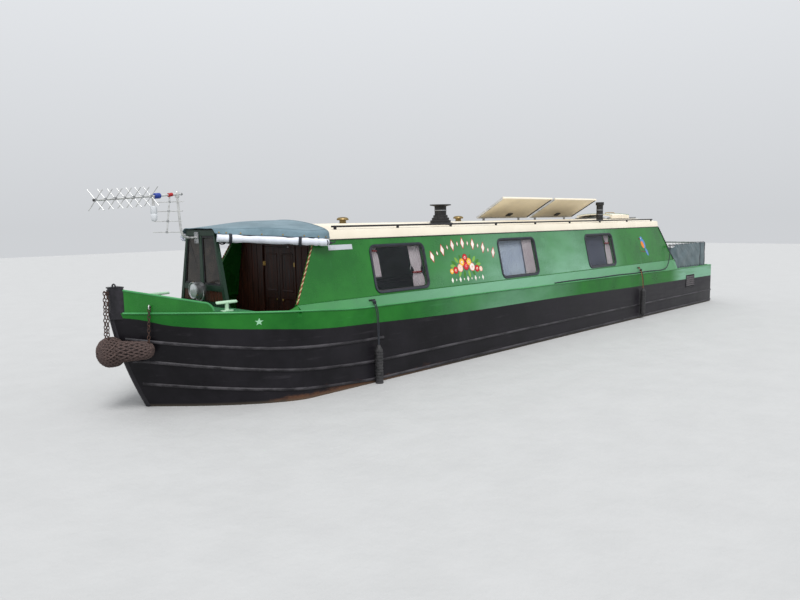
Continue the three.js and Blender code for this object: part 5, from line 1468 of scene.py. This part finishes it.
def dodger_point(side, share, v):
    """A point on the dodger: share runs aft along it and v up it."""
    lean = max(0.0, (sheer(-4.6) * (1 - v) + DODGER_TOP * v - LEAN_Z) / (DODGER_TOP - LEAN_Z))
    front = DODGER_FRONT[0] + (DODGER_FRONT[1] - DODGER_FRONT[0]) * lean
    x = front + (DODGER_REAR - front) * share
    laced = max(0.0, 1 - share / 0.1) * min(1.0, lean * 6)
    tie = abs(math.sin(math.pi * (x - DODGER_FRONT[0]) / TIE_PITCH))
    slack = max(0.0, x - DODGER_SEAM) ** 0.5
    swag = math.sin(9.0 * x + 6.5 * v) + 0.7 * math.sin(15.0 * x - 9.0 * v + 1.3)
    crease = math.sin(30 * v + 5 * tie) * v**2
    swell = (0.35 + 0.65 * math.sin(math.pi * v**0.8)) * (0.5 + 0.28 * swag) + 0.16 * crease
    off = 0.026 * max(0.0, swell) * min(1.0, 8 * share + 0.15) * (0.55 + 0.45 * slack)
    pinch = 0.014 * math.exp(-(((x - DODGER_SEAM) / 0.03) ** 2)) * math.sin(math.pi * v)
    top = DODGER_TOP - 0.02 * tie**2 - 0.045 * min(1.0, max(0.0, 1 - (share - 0.08) / 0.05))
    z = (sheer(x) + 0.014 + 0.006 * (1 - tie)) * (1 - v) + top * v
    y = (DODGER_Y + off - pinch) * (1 - laced) + (cabin_y(z) + 0.004) * laced
    return (x + 0.014 * laced, side * y, z)


def dodger(side):
    """Canvas laced to the stern rail, with sagging folds and a narrow second panel."""
    name = SIDES[side]
    rows = [[dodger_point(side, share, v) for v in span(0, 1, 26)] for share in span(0, 1, 96)]
    build = Build()
    build.grid(rows, "dodger")
    trim = Build()
    top = [column[-1] for column in rows]
    for edge in (top, [column[0] for column in rows], rows[0]):
        trim.tube(edge, 0.0045, "dodger", 8)
    seam = min(rows, key=lambda column: abs(column[0][0] - DODGER_SEAM))
    for column in (seam, rows[-1]):
        trim.tube([Vector(p) + Vector((0, side * 0.004, 0)) for p in column], 0.008, "strap", 8)
    eyelet = [(0.004, 0.003), (0.009, 0.003), (0.010, 0.0), (0.004, 0.0)]
    for column in rows[::8]:
        ring = ellipse((column[-1][0], side * RAIL_Y, RAIL_Z), (0, 0.024, 0), (0, 0, 0.026), 18)
        trim.tube(ring, 0.0032, "strap", 6, closed=True)
        trim.lathe(eyelet, Vector(column[1]) + Vector((0, side * 0.003, 0)), (0, side, 0), "iron", 12)
    ties = trim.make(f"dodger_trim_{name}", slot="canvas", weld=False)
    flat = (length_of(top) * 1.01, DODGER_TOP - sheer(-5.3) - 0.014)
    cloth(build, f"dodger_cloth_{name}", flat, "stretched", ["stern_rail"], 0.0025, [ties.name],
          [f"dodger_{name}"], area=min(area_of(rows) * 1.01, flat[0] * flat[1]))


# Bow


def cratch_board():
    """The framed board at the front of the well deck: boarded below and glazed above."""
    low = sheer(5.3) + 0.0095
    top = BOARD_TOP_Z
    inner_low, inner_top = low + 0.05, top - 0.06
    sill = BOARD_SILL_Z
    # Boards: from and to as shares of the half width, lower and upper end, rear and front face, material
    boards = [(-1, 1, z0, z1, -0.02, 0.02, "dark_green") for z0, z1 in ((low, inner_low), (inner_top, top))]
    for side in SIDES:
        boards.append((side * 0.88, side, inner_low, inner_top, -0.02, 0.02, "dark_green"))
        boards.append((side * 0.08, side * 0.88, sill, inner_top, -0.003, 0.003, "smoked"))
        for y0, y1, z0, z1 in ((0.08, 0.12, sill + 0.02, 2.2), (0.84, 0.88, sill + 0.02, 2.2),
                               (0.08, 0.88, sill, sill + 0.02), (0.08, 0.88, 2.2, 2.22)):
            boards.append((side * y0, side * y1, z0, z1, 0.003, 0.013, "black"))
    boards.append((-0.08, 0.08, inner_low, inner_top, -0.018, 0.018, "dark_green"))
    boards.append((-0.88, 0.88, sill - 0.06, sill, -0.018, 0.018, "dark_green"))
    for share in span(-0.88, 0.66, 7):
        boards.append((share + 0.006, share + 0.214, inner_low, sill - 0.06, -0.012, 0.012, "wood"))
    boards.append((-0.88, 0.88, inner_low, sill - 0.06, -0.014, -0.01, "black"))
    build = Build()
    for y0, y1, z0, z1, x0, x1, key in boards:
        ring = []
        for share, z in ((y0, z0), (y1, z0), (y1, z1), (y0, z1)):
            ring.append((share * (BOARD_HALF - BOARD_TAPER * (z - low) / (top - low)), z))
        build.prism(ring, (BOARD_X + x0, BOARD_X + x1), key)
    build.make("cratch_front", slot="stained_wood", replaces=["cratch_board"], bevel=0.002)


def on_aerial(along, left, up):
    c, s = math.cos(AERIAL_YAW), math.sin(AERIAL_YAW)
    x, y, z = AERIAL_AT
    return Vector((x + along * c - left * s, y + along * s + left * c, z - 0.075 * along + up))


def aerial():
    """A roof aerial on a cranked pole: boom, crossed rods, dipole housing and reflector."""
    build = Build()
    pole = ((5.324, 2.2), (5.41, 2.2), (5.47, 2.22), (5.498, 2.275), (5.51, 2.4), (5.525, 2.675))
    build.tube(smooth_path([(x, AERIAL_AT[1], z) for x, z in pole], 6), 0.013, "alloy", 14)
    build.box((5.3203, -0.1, 2.14), (5.328, -0.02, 2.26), "steel")
    bolt = [(0, 0.006), (0.006, 0.006), (0.007, 0), (0.007, -0.001)]
    for y, z in ((-0.088, 2.155), (-0.032, 2.155), (-0.088, 2.245), (-0.032, 2.245)):
        build.lathe(bolt, (5.328, y, z), (1, 0, 0), "steel", 6)
    build.tube([on_aerial(a, 0, 0) for a in span(-0.065, 1.08, 10)], 0.011, "alloy", 12)
    clamp = [(0, 0.03), (0.022, 0.03), (0.024, 0.026), (0.024, -0.026), (0.022, -0.03), (0, -0.03)]
    build.lathe(clamp, on_aerial(0, 0, 0), (0, 0, 1), "alloy", 16)
    for start, end in ((-0.07, -0.062), (1.078, 1.084)):
        build.tube([on_aerial(start, 0, 0), on_aerial(end, 0, 0)], 0.013, "rubber", 12)
    for i in range(7):
        along = 0.37 + 0.115 * i
        for lean in (1, -1):
            build.tube([on_aerial(along, y, y * lean) for y in (-0.095, 0.095)], 0.004, "alloy", 8)
        build.box(*corners(on_aerial(along, 0, 0), (0.011, 0.014, 0.014)), "steel")
    housing = ((0.252, 0.024), (0.257, 0.0285), (0.318, 0.0285), (0.323, 0.024))
    build.tube([on_aerial(a, 0, 0) for a, r in housing], [r for a, r in housing], "blue_plastic", 16)
    # The box that hangs on its neck below the boom: height, radius
    neck = ((0, 0.015), (-0.05, 0.0135), (-0.11, 0.015))
    bottle = ((-0.098, 0.020), (-0.104, 0.031), (-0.12, 0.0335), (-0.165, 0.033), (-0.175, 0.029),
              (-0.182, 0.033), (-0.235, 0.029), (-0.246, 0.024), (-0.25, 0.014))
    for shape, key, sides in ((neck, "alloy", 14), (bottle, "white_plastic", 18)):
        build.tube([on_aerial(0.345, 0, z) for z, r in shape], [r for z, r in shape], key, sides)
    build.tube([on_aerial(0.105, 0, 0.01), on_aerial(0.178, 0, -0.385)], 0.008, "alloy", 10)
    build.tube([on_aerial(0.075, 0, 0.004), on_aerial(0.13, 0, -0.001)], 0.0195, "red", 14)
    for up in (-0.07, -0.165, -0.265, -0.375):
        along = 0.115 - 0.2 * (up + 0.07)
        build.tube([on_aerial(along, y, up) for y in (-0.185, 0.0, 0.185)], 0.005, "alloy", 8)
        build.box(*corners(on_aerial(along, 0, up), (0.010, 0.010, 0.010)), "steel")
    build.make("rooftop_aerial", slot="steel", replaces=["aerial"], angle=40)


def corners(at, reach):
    return tuple(a - r for a, r in zip(at, reach)), tuple(a + r for a, r in zip(at, reach))


def tunnel_lamp():
    build = Build()
    x, y, z = LAMP_AT
    shell = [(0, 0), (0.05, 0.001), (0.074, 0.012), (0.085, 0.035), (0.088, 0.06), (0.088, 0.112),
             (0.0905, 0.115), (0.0905, 0.128), (0.084, 0.130), (0.078, 0.126), (0.076, 0.118)]
    build.lathe(shell, LAMP_AT, (1, 0, 0), "steel", 40)
    build.lathe([(0.077, 0.119), (0.06, 0.127), (0.03, 0.1315), (0.0, 0.133)], LAMP_AT, (1, 0, 0), "lens", 40)
    for t in circle(3):
        at = (x + 0.121, y + 0.088 * math.sin(t), z + 0.088 * math.cos(t))
        build.lathe([(0, 0.008), (0.004, 0.008), (0.005, 0), (0.005, -0.008)], at, (1, 0, 0), "brass", 8)
    x = LAMP_STEM_X
    foot = sheer(x) + 0.01
    build.tube([(x, y, foot), (x, y, z - 0.08)], 0.012, "steel", 14)
    plate = [(0, 0.009), (0.04, 0.009), (0.045, 0.006), (0.045, 0)]
    build.lathe(plate, (x, y, foot - 0.001), (0, 0, 1), "steel", 24)
    for way in (1, -1):
        arm = [(x, y + way * a, z + b) for a, b in ((0, -0.11), (0.05, -0.105), (0.088, -0.06), (0.089, 0))]
        build.tube(smooth_path(arm, 5), 0.007, "steel", 8)
    build.make("headlamp", slot="steel", replaces=["tunnel_lamp"], angle=40)


def bow_stud(side):
    """A mooring stud with a cross bar."""
    x, y = STUD_AT[0], side * STUD_AT[1]
    z = sheer(x) + 0.01
    build = Build()
    plate = rounded(x - 0.06, x + 0.06, y - 0.034, y + 0.034, 0.012, 4)
    build.solid([raised(plate, z + h) for h in (-0.004, 0.006, 0.008)], "pale_green")
    post = [(0.026, 0.006), (0.021, 0.016), (0.0195, 0.03), (0.0195, 0.075), (0.022, 0.086)]
    build.lathe(post, (x, y, z), (0, 0, 1), "pale_green", 20)
    bar = ((-0.12, 0.006), (-0.114, 0.0105), (-0.08, 0.0115), (0, 0.012), (0.08, 0.0115), (0.114, 0.0105),
           (0.12, 0.006))
    build.tube([(x + a, y, z + 0.088) for a, r in bar], [r for a, r in bar], "pale_green", 14, squash=1.6)
    for a, b in ((-0.045, -0.022), (0.045, -0.022), (-0.045, 0.022), (0.045, 0.022)):
        bolt = [(0, 0.012), (0.006, 0.011), (0.007, 0.007)]
        build.lathe(bolt, (x + a, y + b, z), (0, 0, 1), "pale_green", 6)
    name = SIDES[side]
    build.make(f"mooring_stud_{name}", slot="hull_paint", replaces=[f"bow_stud_{name}"], angle=40)


def woven_body(build, start, end, profile, strands, turn):
    """A rope fender: two sets of strands plaited round a core of (radius, share of the length) points."""
    start, end = Vector(start), Vector(end)
    axis = (end - start).normalized()
    out = axis.orthogonal().normalized()
    side = axis.cross(out)
    reach = (end - start).length
    core = [(max(0.0, r - 0.009), share * reach) for r, share in profile]
    build.lathe(core, start, axis, "fender_core", 28)
    line = smooth_path([(r, share, 0) for r, share in profile], 6)
    for way in (1, -1):
        for k in range(strands):
            path = []
            for i, (r, share, _) in enumerate(line):
                angle = 2 * math.pi * k / strands + way * turn * i / (len(line) - 1)
                weave = 0.0035 * way * math.cos(strands * angle * 0.5 + i * 0.9)
                radius = max(0.012, r - 0.006 + weave)
                around = out * math.cos(angle) + side * math.sin(angle)
                path.append(start + axis * share * reach + around * radius)
            build.tube(path, 0.0105, "plait", 5)


def stem_fender():
    build = Build()
    woven_body(build, (6.24, 0, 1.11), (6.465, 0, 1.11), BUTTON, 22, 2.0)
    for side in SIDES:
        woven_body(build, (6.325, side * 0.04, 1.115), (6.085, side * 0.305, 1.132), ARM, 15, 2.2)
    build.make("rope_fender", slot="dark_rubber", replaces=["stem_fender"], weld=False)


def chain_links(build, start, end):
    """Oval links, each turned a quarter to the one before."""
    start, end = Vector(start), Vector(end)
    axis = (end - start).normalized()
    side = axis.cross(Vector((1, 0, 0))).normalized()
    pair = (axis.cross(side), side)
    count = max(1, round((end - start).length / 0.034))
    for i in range(count):
        centre = start.lerp(end, (i + 0.5) / count)
        swing = 0.25 * math.sin(i * 2.1)
        wide = pair[i % 2] * math.cos(swing) + pair[1 - i % 2] * swing
        loop = []
        for t in circle(16):
            reach = 0.0125 * math.cos(t) * (1.15 - 0.15 * abs(math.cos(t)))
            loop.append(centre + axis * 0.0195 * math.sin(t) + wide * reach)
        build.tube(loop, 0.0046, "chain", 7, closed=True)


def fender_chains():
    build = Build()
    build.box((6.3303, -0.028, 1.67), (6.34, 0.028, 1.722), "black")
    build.tube([(6.357, -0.048, 1.7), (6.357, 0.048, 1.7)], 0.007, "chain", 10)
    build.tube([(6.34, 0, 1.7), (6.357, 0, 1.7)], 0.009, "chain", 10)
    for side in SIDES:
        chain_links(build, (6.357, side * 0.032, 1.706), (6.374, side * 0.032, 1.24))
    build.tube([(6.375, -0.045, 1.248), (6.375, 0.045, 1.248)], 0.007, "chain", 10)
    build.make("fender_chain_stem", slot="steel", replaces=["stem_chain"], weld=False)
    for side, name in SIDES.items():
        build = Build()
        build.tube([(6.06, side * 0.306, 1.553), (6.095, side * 0.34, 1.553)], 0.008, "chain", 10)
        eye = ellipse((6.087, side * 0.332, 1.553), (0.0119, side * 0.0119, 0), (0, 0, 0.019), 18)
        build.tube(eye, 0.0055, "alloy", 8, closed=True)
        chain_links(build, (6.088, side * 0.331, 1.54), (6.1, side * 0.308, 1.205))
        build.tube([(6.086, side * 0.308, 1.211), (6.114, side * 0.308, 1.211)], 0.006, "chain", 8)
        build.make(f"fender_chain_{name}", slot="steel", replaces=[f"side_chain_{name}"], weld=False)


def side_fender(name):
    """A ribbed rubber fender on a doubled lanyard, knotted at the gunwale."""
    x, low, length = SIDE_FENDERS[name]
    build = Build()
    profile = [(0.0, 0.0), (0.016, 0.002), (0.022, 0.02), (0.042, 0.045)]
    step = (length - 0.1) / FENDER_RIBS
    for i in range(FENDER_RIBS):
        for radius, share in ((0.0455, 0.1), (0.0455, 0.75), (0.041, 0.85), (0.041, 1.0)):
            profile.append((radius, 0.05 + step * (i + share)))
    profile += [(0.022, length - 0.02), (0.016, length - 0.002), (0.0, length)]
    build.lathe(profile, (x, FENDER_Y, low), (0, 0, 1), "rubber", 24)
    edge = sheer(x)
    drop = [(x, FENDER_Y, low + length - 0.02), (x, FENDER_Y - 0.006, edge - 0.12), (x, 1.059, edge - 0.01),
            on_gunwale(x, 0.2, 0.033), on_gunwale(x, 0.45, 0.026), on_gunwale(x, 0.62, 0.012)]
    for way in (1, -1):
        strand = []
        for i, point in enumerate(smooth_path(drop, 6)):
            spread = 0.006 + 0.006 * math.sin(math.pi * min(1, i / 20))
            strand.append(point + Vector((way * spread, 0, 0)))
        build.tube(strand, 0.0055, "rust_line" if name == "aft" and way > 0 else "strap", 8)
    knot = Vector(on_gunwale(x, 0.3, 0.034))
    for k in range(3):
        axis = Vector((math.cos(k * 2.1), 0.4 * math.sin(k * 2.1), math.sin(k * 1.3))).normalized()
        out = axis.orthogonal().normalized()
        third = axis.cross(out)
        ring = [knot + out * math.cos(t) * 0.019 + third * math.sin(t) * 0.015
                + axis * 0.004 * math.sin(2 * t) for t in circle(16)]
        build.tube(ring, 0.0065, "strap", 7, closed=True)
    # Cleat: place along it, height, radius
    cleat = ((-0.048, 0.014, 0.005), (-0.036, 0.012, 0.007), (-0.015, 0.008, 0.008), (0.015, 0.008, 0.008),
             (0.036, 0.012, 0.007), (0.048, 0.014, 0.005))
    build.tube([on_gunwale(x + a, 0.62, h) for a, h, r in cleat], [r for a, h, r in cleat], "black", 10)
    build.make(f"hung_fender_{name}", slot="dark_rubber", replaces=[f"side_fender_{name}"], weld=False)


# Stern


def tiller():
    base = STOCK_TOP_Z
    build = Build()
    neck = [(STOCK_X, 0), (STOCK_X, 0.21), (-6.02, 0.33), (-5.94, 0.405), (-5.8, 0.425), (-5.61, 0.44)]
    neck = smooth_path([(x, 0, base + z) for x, z in neck], 6)
    build.tube(neck, 0.0168, "green", 18)
    for i in range(1, 6):
        point = neck[i * 5]
        build.tube([point, point.lerp(neck[i * 5 + 1], 0.45)], 0.0176, "red" if i % 2 else "cream", 18)
    build.tube([(STOCK_X, 0, base), (STOCK_X, 0, base + 0.012)], 0.024, "brass", 18)
    # The bar and its grip: ends, then (share, radius) along them
    arm = ((-5.63, 0, base + 0.438), (-5.27, 0, base + 0.468))
    bar = ((0, 0.017), (0.02, 0.0185), (0.1, 0.0185), (0.12, 0.0142), (0.9, 0.0142), (0.98, 0.0175),
           (1, 0.015))
    hold = ((-5.29, 0, base + 0.466), (-5.13, 0, base + 0.480))
    grip = ((0.0, 0.014), (0.06, 0.0175), (0.12, 0.019), (0.16, 0.0165), (0.2, 0.0165), (0.26, 0.0195),
            (0.6, 0.0215), (0.85, 0.0215), (0.96, 0.017), (1.0, 0.008))
    for ends, shape, key, sides in ((arm, bar, "brass", 18), (hold, grip, "plank", 20)):
        start, end = (Vector(p) for p in ends)
        build.tube([start.lerp(end, t) for t, r in shape], [r for t, r in shape], key, sides)
    build.make("tiller_bar", body="rudder", slot="brass", replaces=["tiller"], angle=40)


def propeller():
    centre = Vector(SCREW_AT)
    build = Build()
    hub = [(0.0, 0.0447), (0.03, 0.0447), (0.034, 0.040), (0.034, -0.045), (0.030, -0.052), (0.020, -0.066),
           (0.012, -0.0745), (0.0, -0.076)]
    build.lathe(hub, centre, (1, 0, 0), "brass", 32)
    shape = smooth_path([(r, c, math.radians(a)) for r, c, a in BLADE_SECTIONS], 5)
    for turn in circle(3):
        rows = []
        for radius, chord, pitch in shape:
            row = []
            for t in circle(16):
                u, v = chord * math.cos(t), 0.0042 * math.sin(t)
                x = u * math.sin(pitch) * 0.6 + v * math.cos(pitch)
                y, z = turned(0, 0, u * math.cos(pitch) - v * math.sin(pitch), radius, turn)
                row.append(centre + Vector((x, y, z)))
            rows.append(row)
        build.solid(rows, "brass")
    build.make("screw", body="propeller", slot="brass", replaces=["propeller"], angle=50, weld=False)


def deck_fittings():
    """Lifting rings and filler caps of the stern deck, and the locker lid on the foredeck."""
    build = Build()
    plate = [(0, 0.003), (0.036, 0.003), (0.04, 0.0), (0.04, -0.004)]
    for side in (-1, 1):
        x, y = PULLS_AT[0], side * PULLS_AT[1]
        ring = ellipse((x, y, DECK_Z + 0.0035), (0.028, 0, 0), (0, 0.022, 0), 20)
        build.tube(ring, 0.0035, "brass", 8, closed=True)
        build.lathe(plate, (x, y, DECK_Z), (0, 0, 1), "brass", 24)
    build.make("lid_pulls", body="deck_lid", slot="brass")
    build = Build()
    cap = [(0, 0.009), (0.03, 0.009), (0.034, 0.007), (0.036, 0.003), (0.046, 0.003), (0.048, 0.0)]
    for side in SIDES:
        build.lathe(cap, (CAPS_AT[0], side * CAPS_AT[1], DECK_Z - 0.002), (0, 0, 1), "brass", 28)
    lid_z = sheer(5.8) + 0.0085
    rear, front, half = LOCKER_LID
    outline = rounded(rear, front, -half, half, 0.03, 5)
    centre = (rear + front) / 2
    rings = []
    for inset, rise in ((0.0, -0.004), (0.0, 0.010), (0.004, 0.014), (0.02, 0.0145)):
        shrink = 1 - inset / half
        rings.append([(centre + (x - centre) * shrink, y * shrink, lid_z + rise) for x, y in outline])
    build.solid(rings, "deck")
    grip = ((5.62, -0.05, 0.012), (5.618, -0.045, 0.034), (5.618, 0.045, 0.034), (5.62, 0.05, 0.012))
    build.tube(smooth_path([(x, y, lid_z + z) for x, y, z in grip], 6), 0.006, "brass", 10)
    for y in (-0.12, 0.12):
        build.tube([(5.975, y + dy, lid_z + 0.012) for dy in (-0.04, 0.04)], 0.009, "brass", 12)
    build.make("deck_fittings", slot="brass", angle=40)


# Camera, light and floor


def add_camera():
    flat = math.cos(CAMERA_PITCH)
    forward = Vector((math.sin(CAMERA_YAW) * flat, -math.cos(CAMERA_YAW) * flat, -math.sin(CAMERA_PITCH)))
    level = forward.cross(Vector((0, 0, 1))).normalized()
    upright = level.cross(forward)
    right = level * math.cos(CAMERA_ROLL) + upright * math.sin(CAMERA_ROLL)
    up = upright * math.cos(CAMERA_ROLL) - level * math.sin(CAMERA_ROLL)
    data = bpy.data.cameras.new("camera")
    data.sensor_width = 36
    data.lens = CAMERA_LENS
    data.clip_end = 200
    camera = bpy.data.objects.new("camera", data)
    camera.matrix_world = Matrix.Translation(CAMERA_AT) @ Matrix((right, up, -forward)).transposed().to_4x4()
    bpy.context.scene.collection.objects.link(camera)
    bpy.context.scene.camera = camera


def add_stage():
    build = Build()
    build.grid([[(x, y, DRAFT) for x in span(-40, 40, 8)] for y in span(-40, 40, 8)], "floor_pale")
    mesh = bpy.data.meshes.new("stage_floor")
    mesh.from_pydata(build.verts, [], build.faces)
    mesh.materials.append(MAT["floor_pale"])
    floor = bpy.data.objects.new("stage_floor", mesh)
    bpy.context.scene.collection.objects.link(floor)


def add_lights():
    """An even pale sky, brighter overhead, and one wide soft key light."""
    world = bpy.data.worlds.new("studio")
    world.use_nodes = True
    tree = world.node_tree
    coord = tree.nodes.new("ShaderNodeTexCoord").outputs["Generated"]
    split = tree.nodes.new("ShaderNodeSeparateXYZ")
    ramp = tree.nodes.new("ShaderNodeMapRange")
    tree.links.new(coord, split.inputs[0])
    tree.links.new(split.outputs[2], ramp.inputs[0])
    for i, value in ((1, 0.0), (2, 0.9), (3, SKY_LOW), (4, SKY_HIGH)):
        ramp.inputs[i].default_value = value
    background = tree.nodes["Background"]
    background.inputs[0].default_value = SKY_COLOUR
    tree.links.new(ramp.outputs[0], background.inputs[1])
    bpy.context.scene.world = world
    data = bpy.data.lights.new("key", "SUN")
    data.energy = KEY_ENERGY
    data.angle = KEY_SPREAD
    key = bpy.data.objects.new("key", data)
    key.rotation_euler = Vector(KEY_FROM).to_track_quat("Z", "Y").to_euler()
    bpy.context.scene.collection.objects.link(key)
    bpy.context.scene.view_settings.view_transform = "Standard"


# The whole boat

add_camera()
gunwale_line()
hull_bow()
for side in SIDES:
    hull_side(side)
hull_stern()
for node, look in NODE_LOOKS.items():
    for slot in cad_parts[node].material_slots:
        slot.material = MAT[look]
roof()
rear_hatch()
canopy()
for side in SIDES:
    for number in range(3):
        window(side, number)
    cabin_trim(side)
    ornament(side)
    curtain_roll(side)
    dodger(side)
    bow_stud(side)
    for place, facts in DOORS.items():
        door(side, place, *facts)
hull_star()
bulkhead_boards()
for name, facts in FLUES.items():
    flue(name, *facts)
for name in PANEL_FRONTS:
    solar_panel(name)
cratch_board()
aerial()
tunnel_lamp()
stem_fender()
fender_chains()
for name in SIDE_FENDERS:
    side_fender(name)
tiller()
propeller()
deck_fittings()
add_stage()
add_lights()
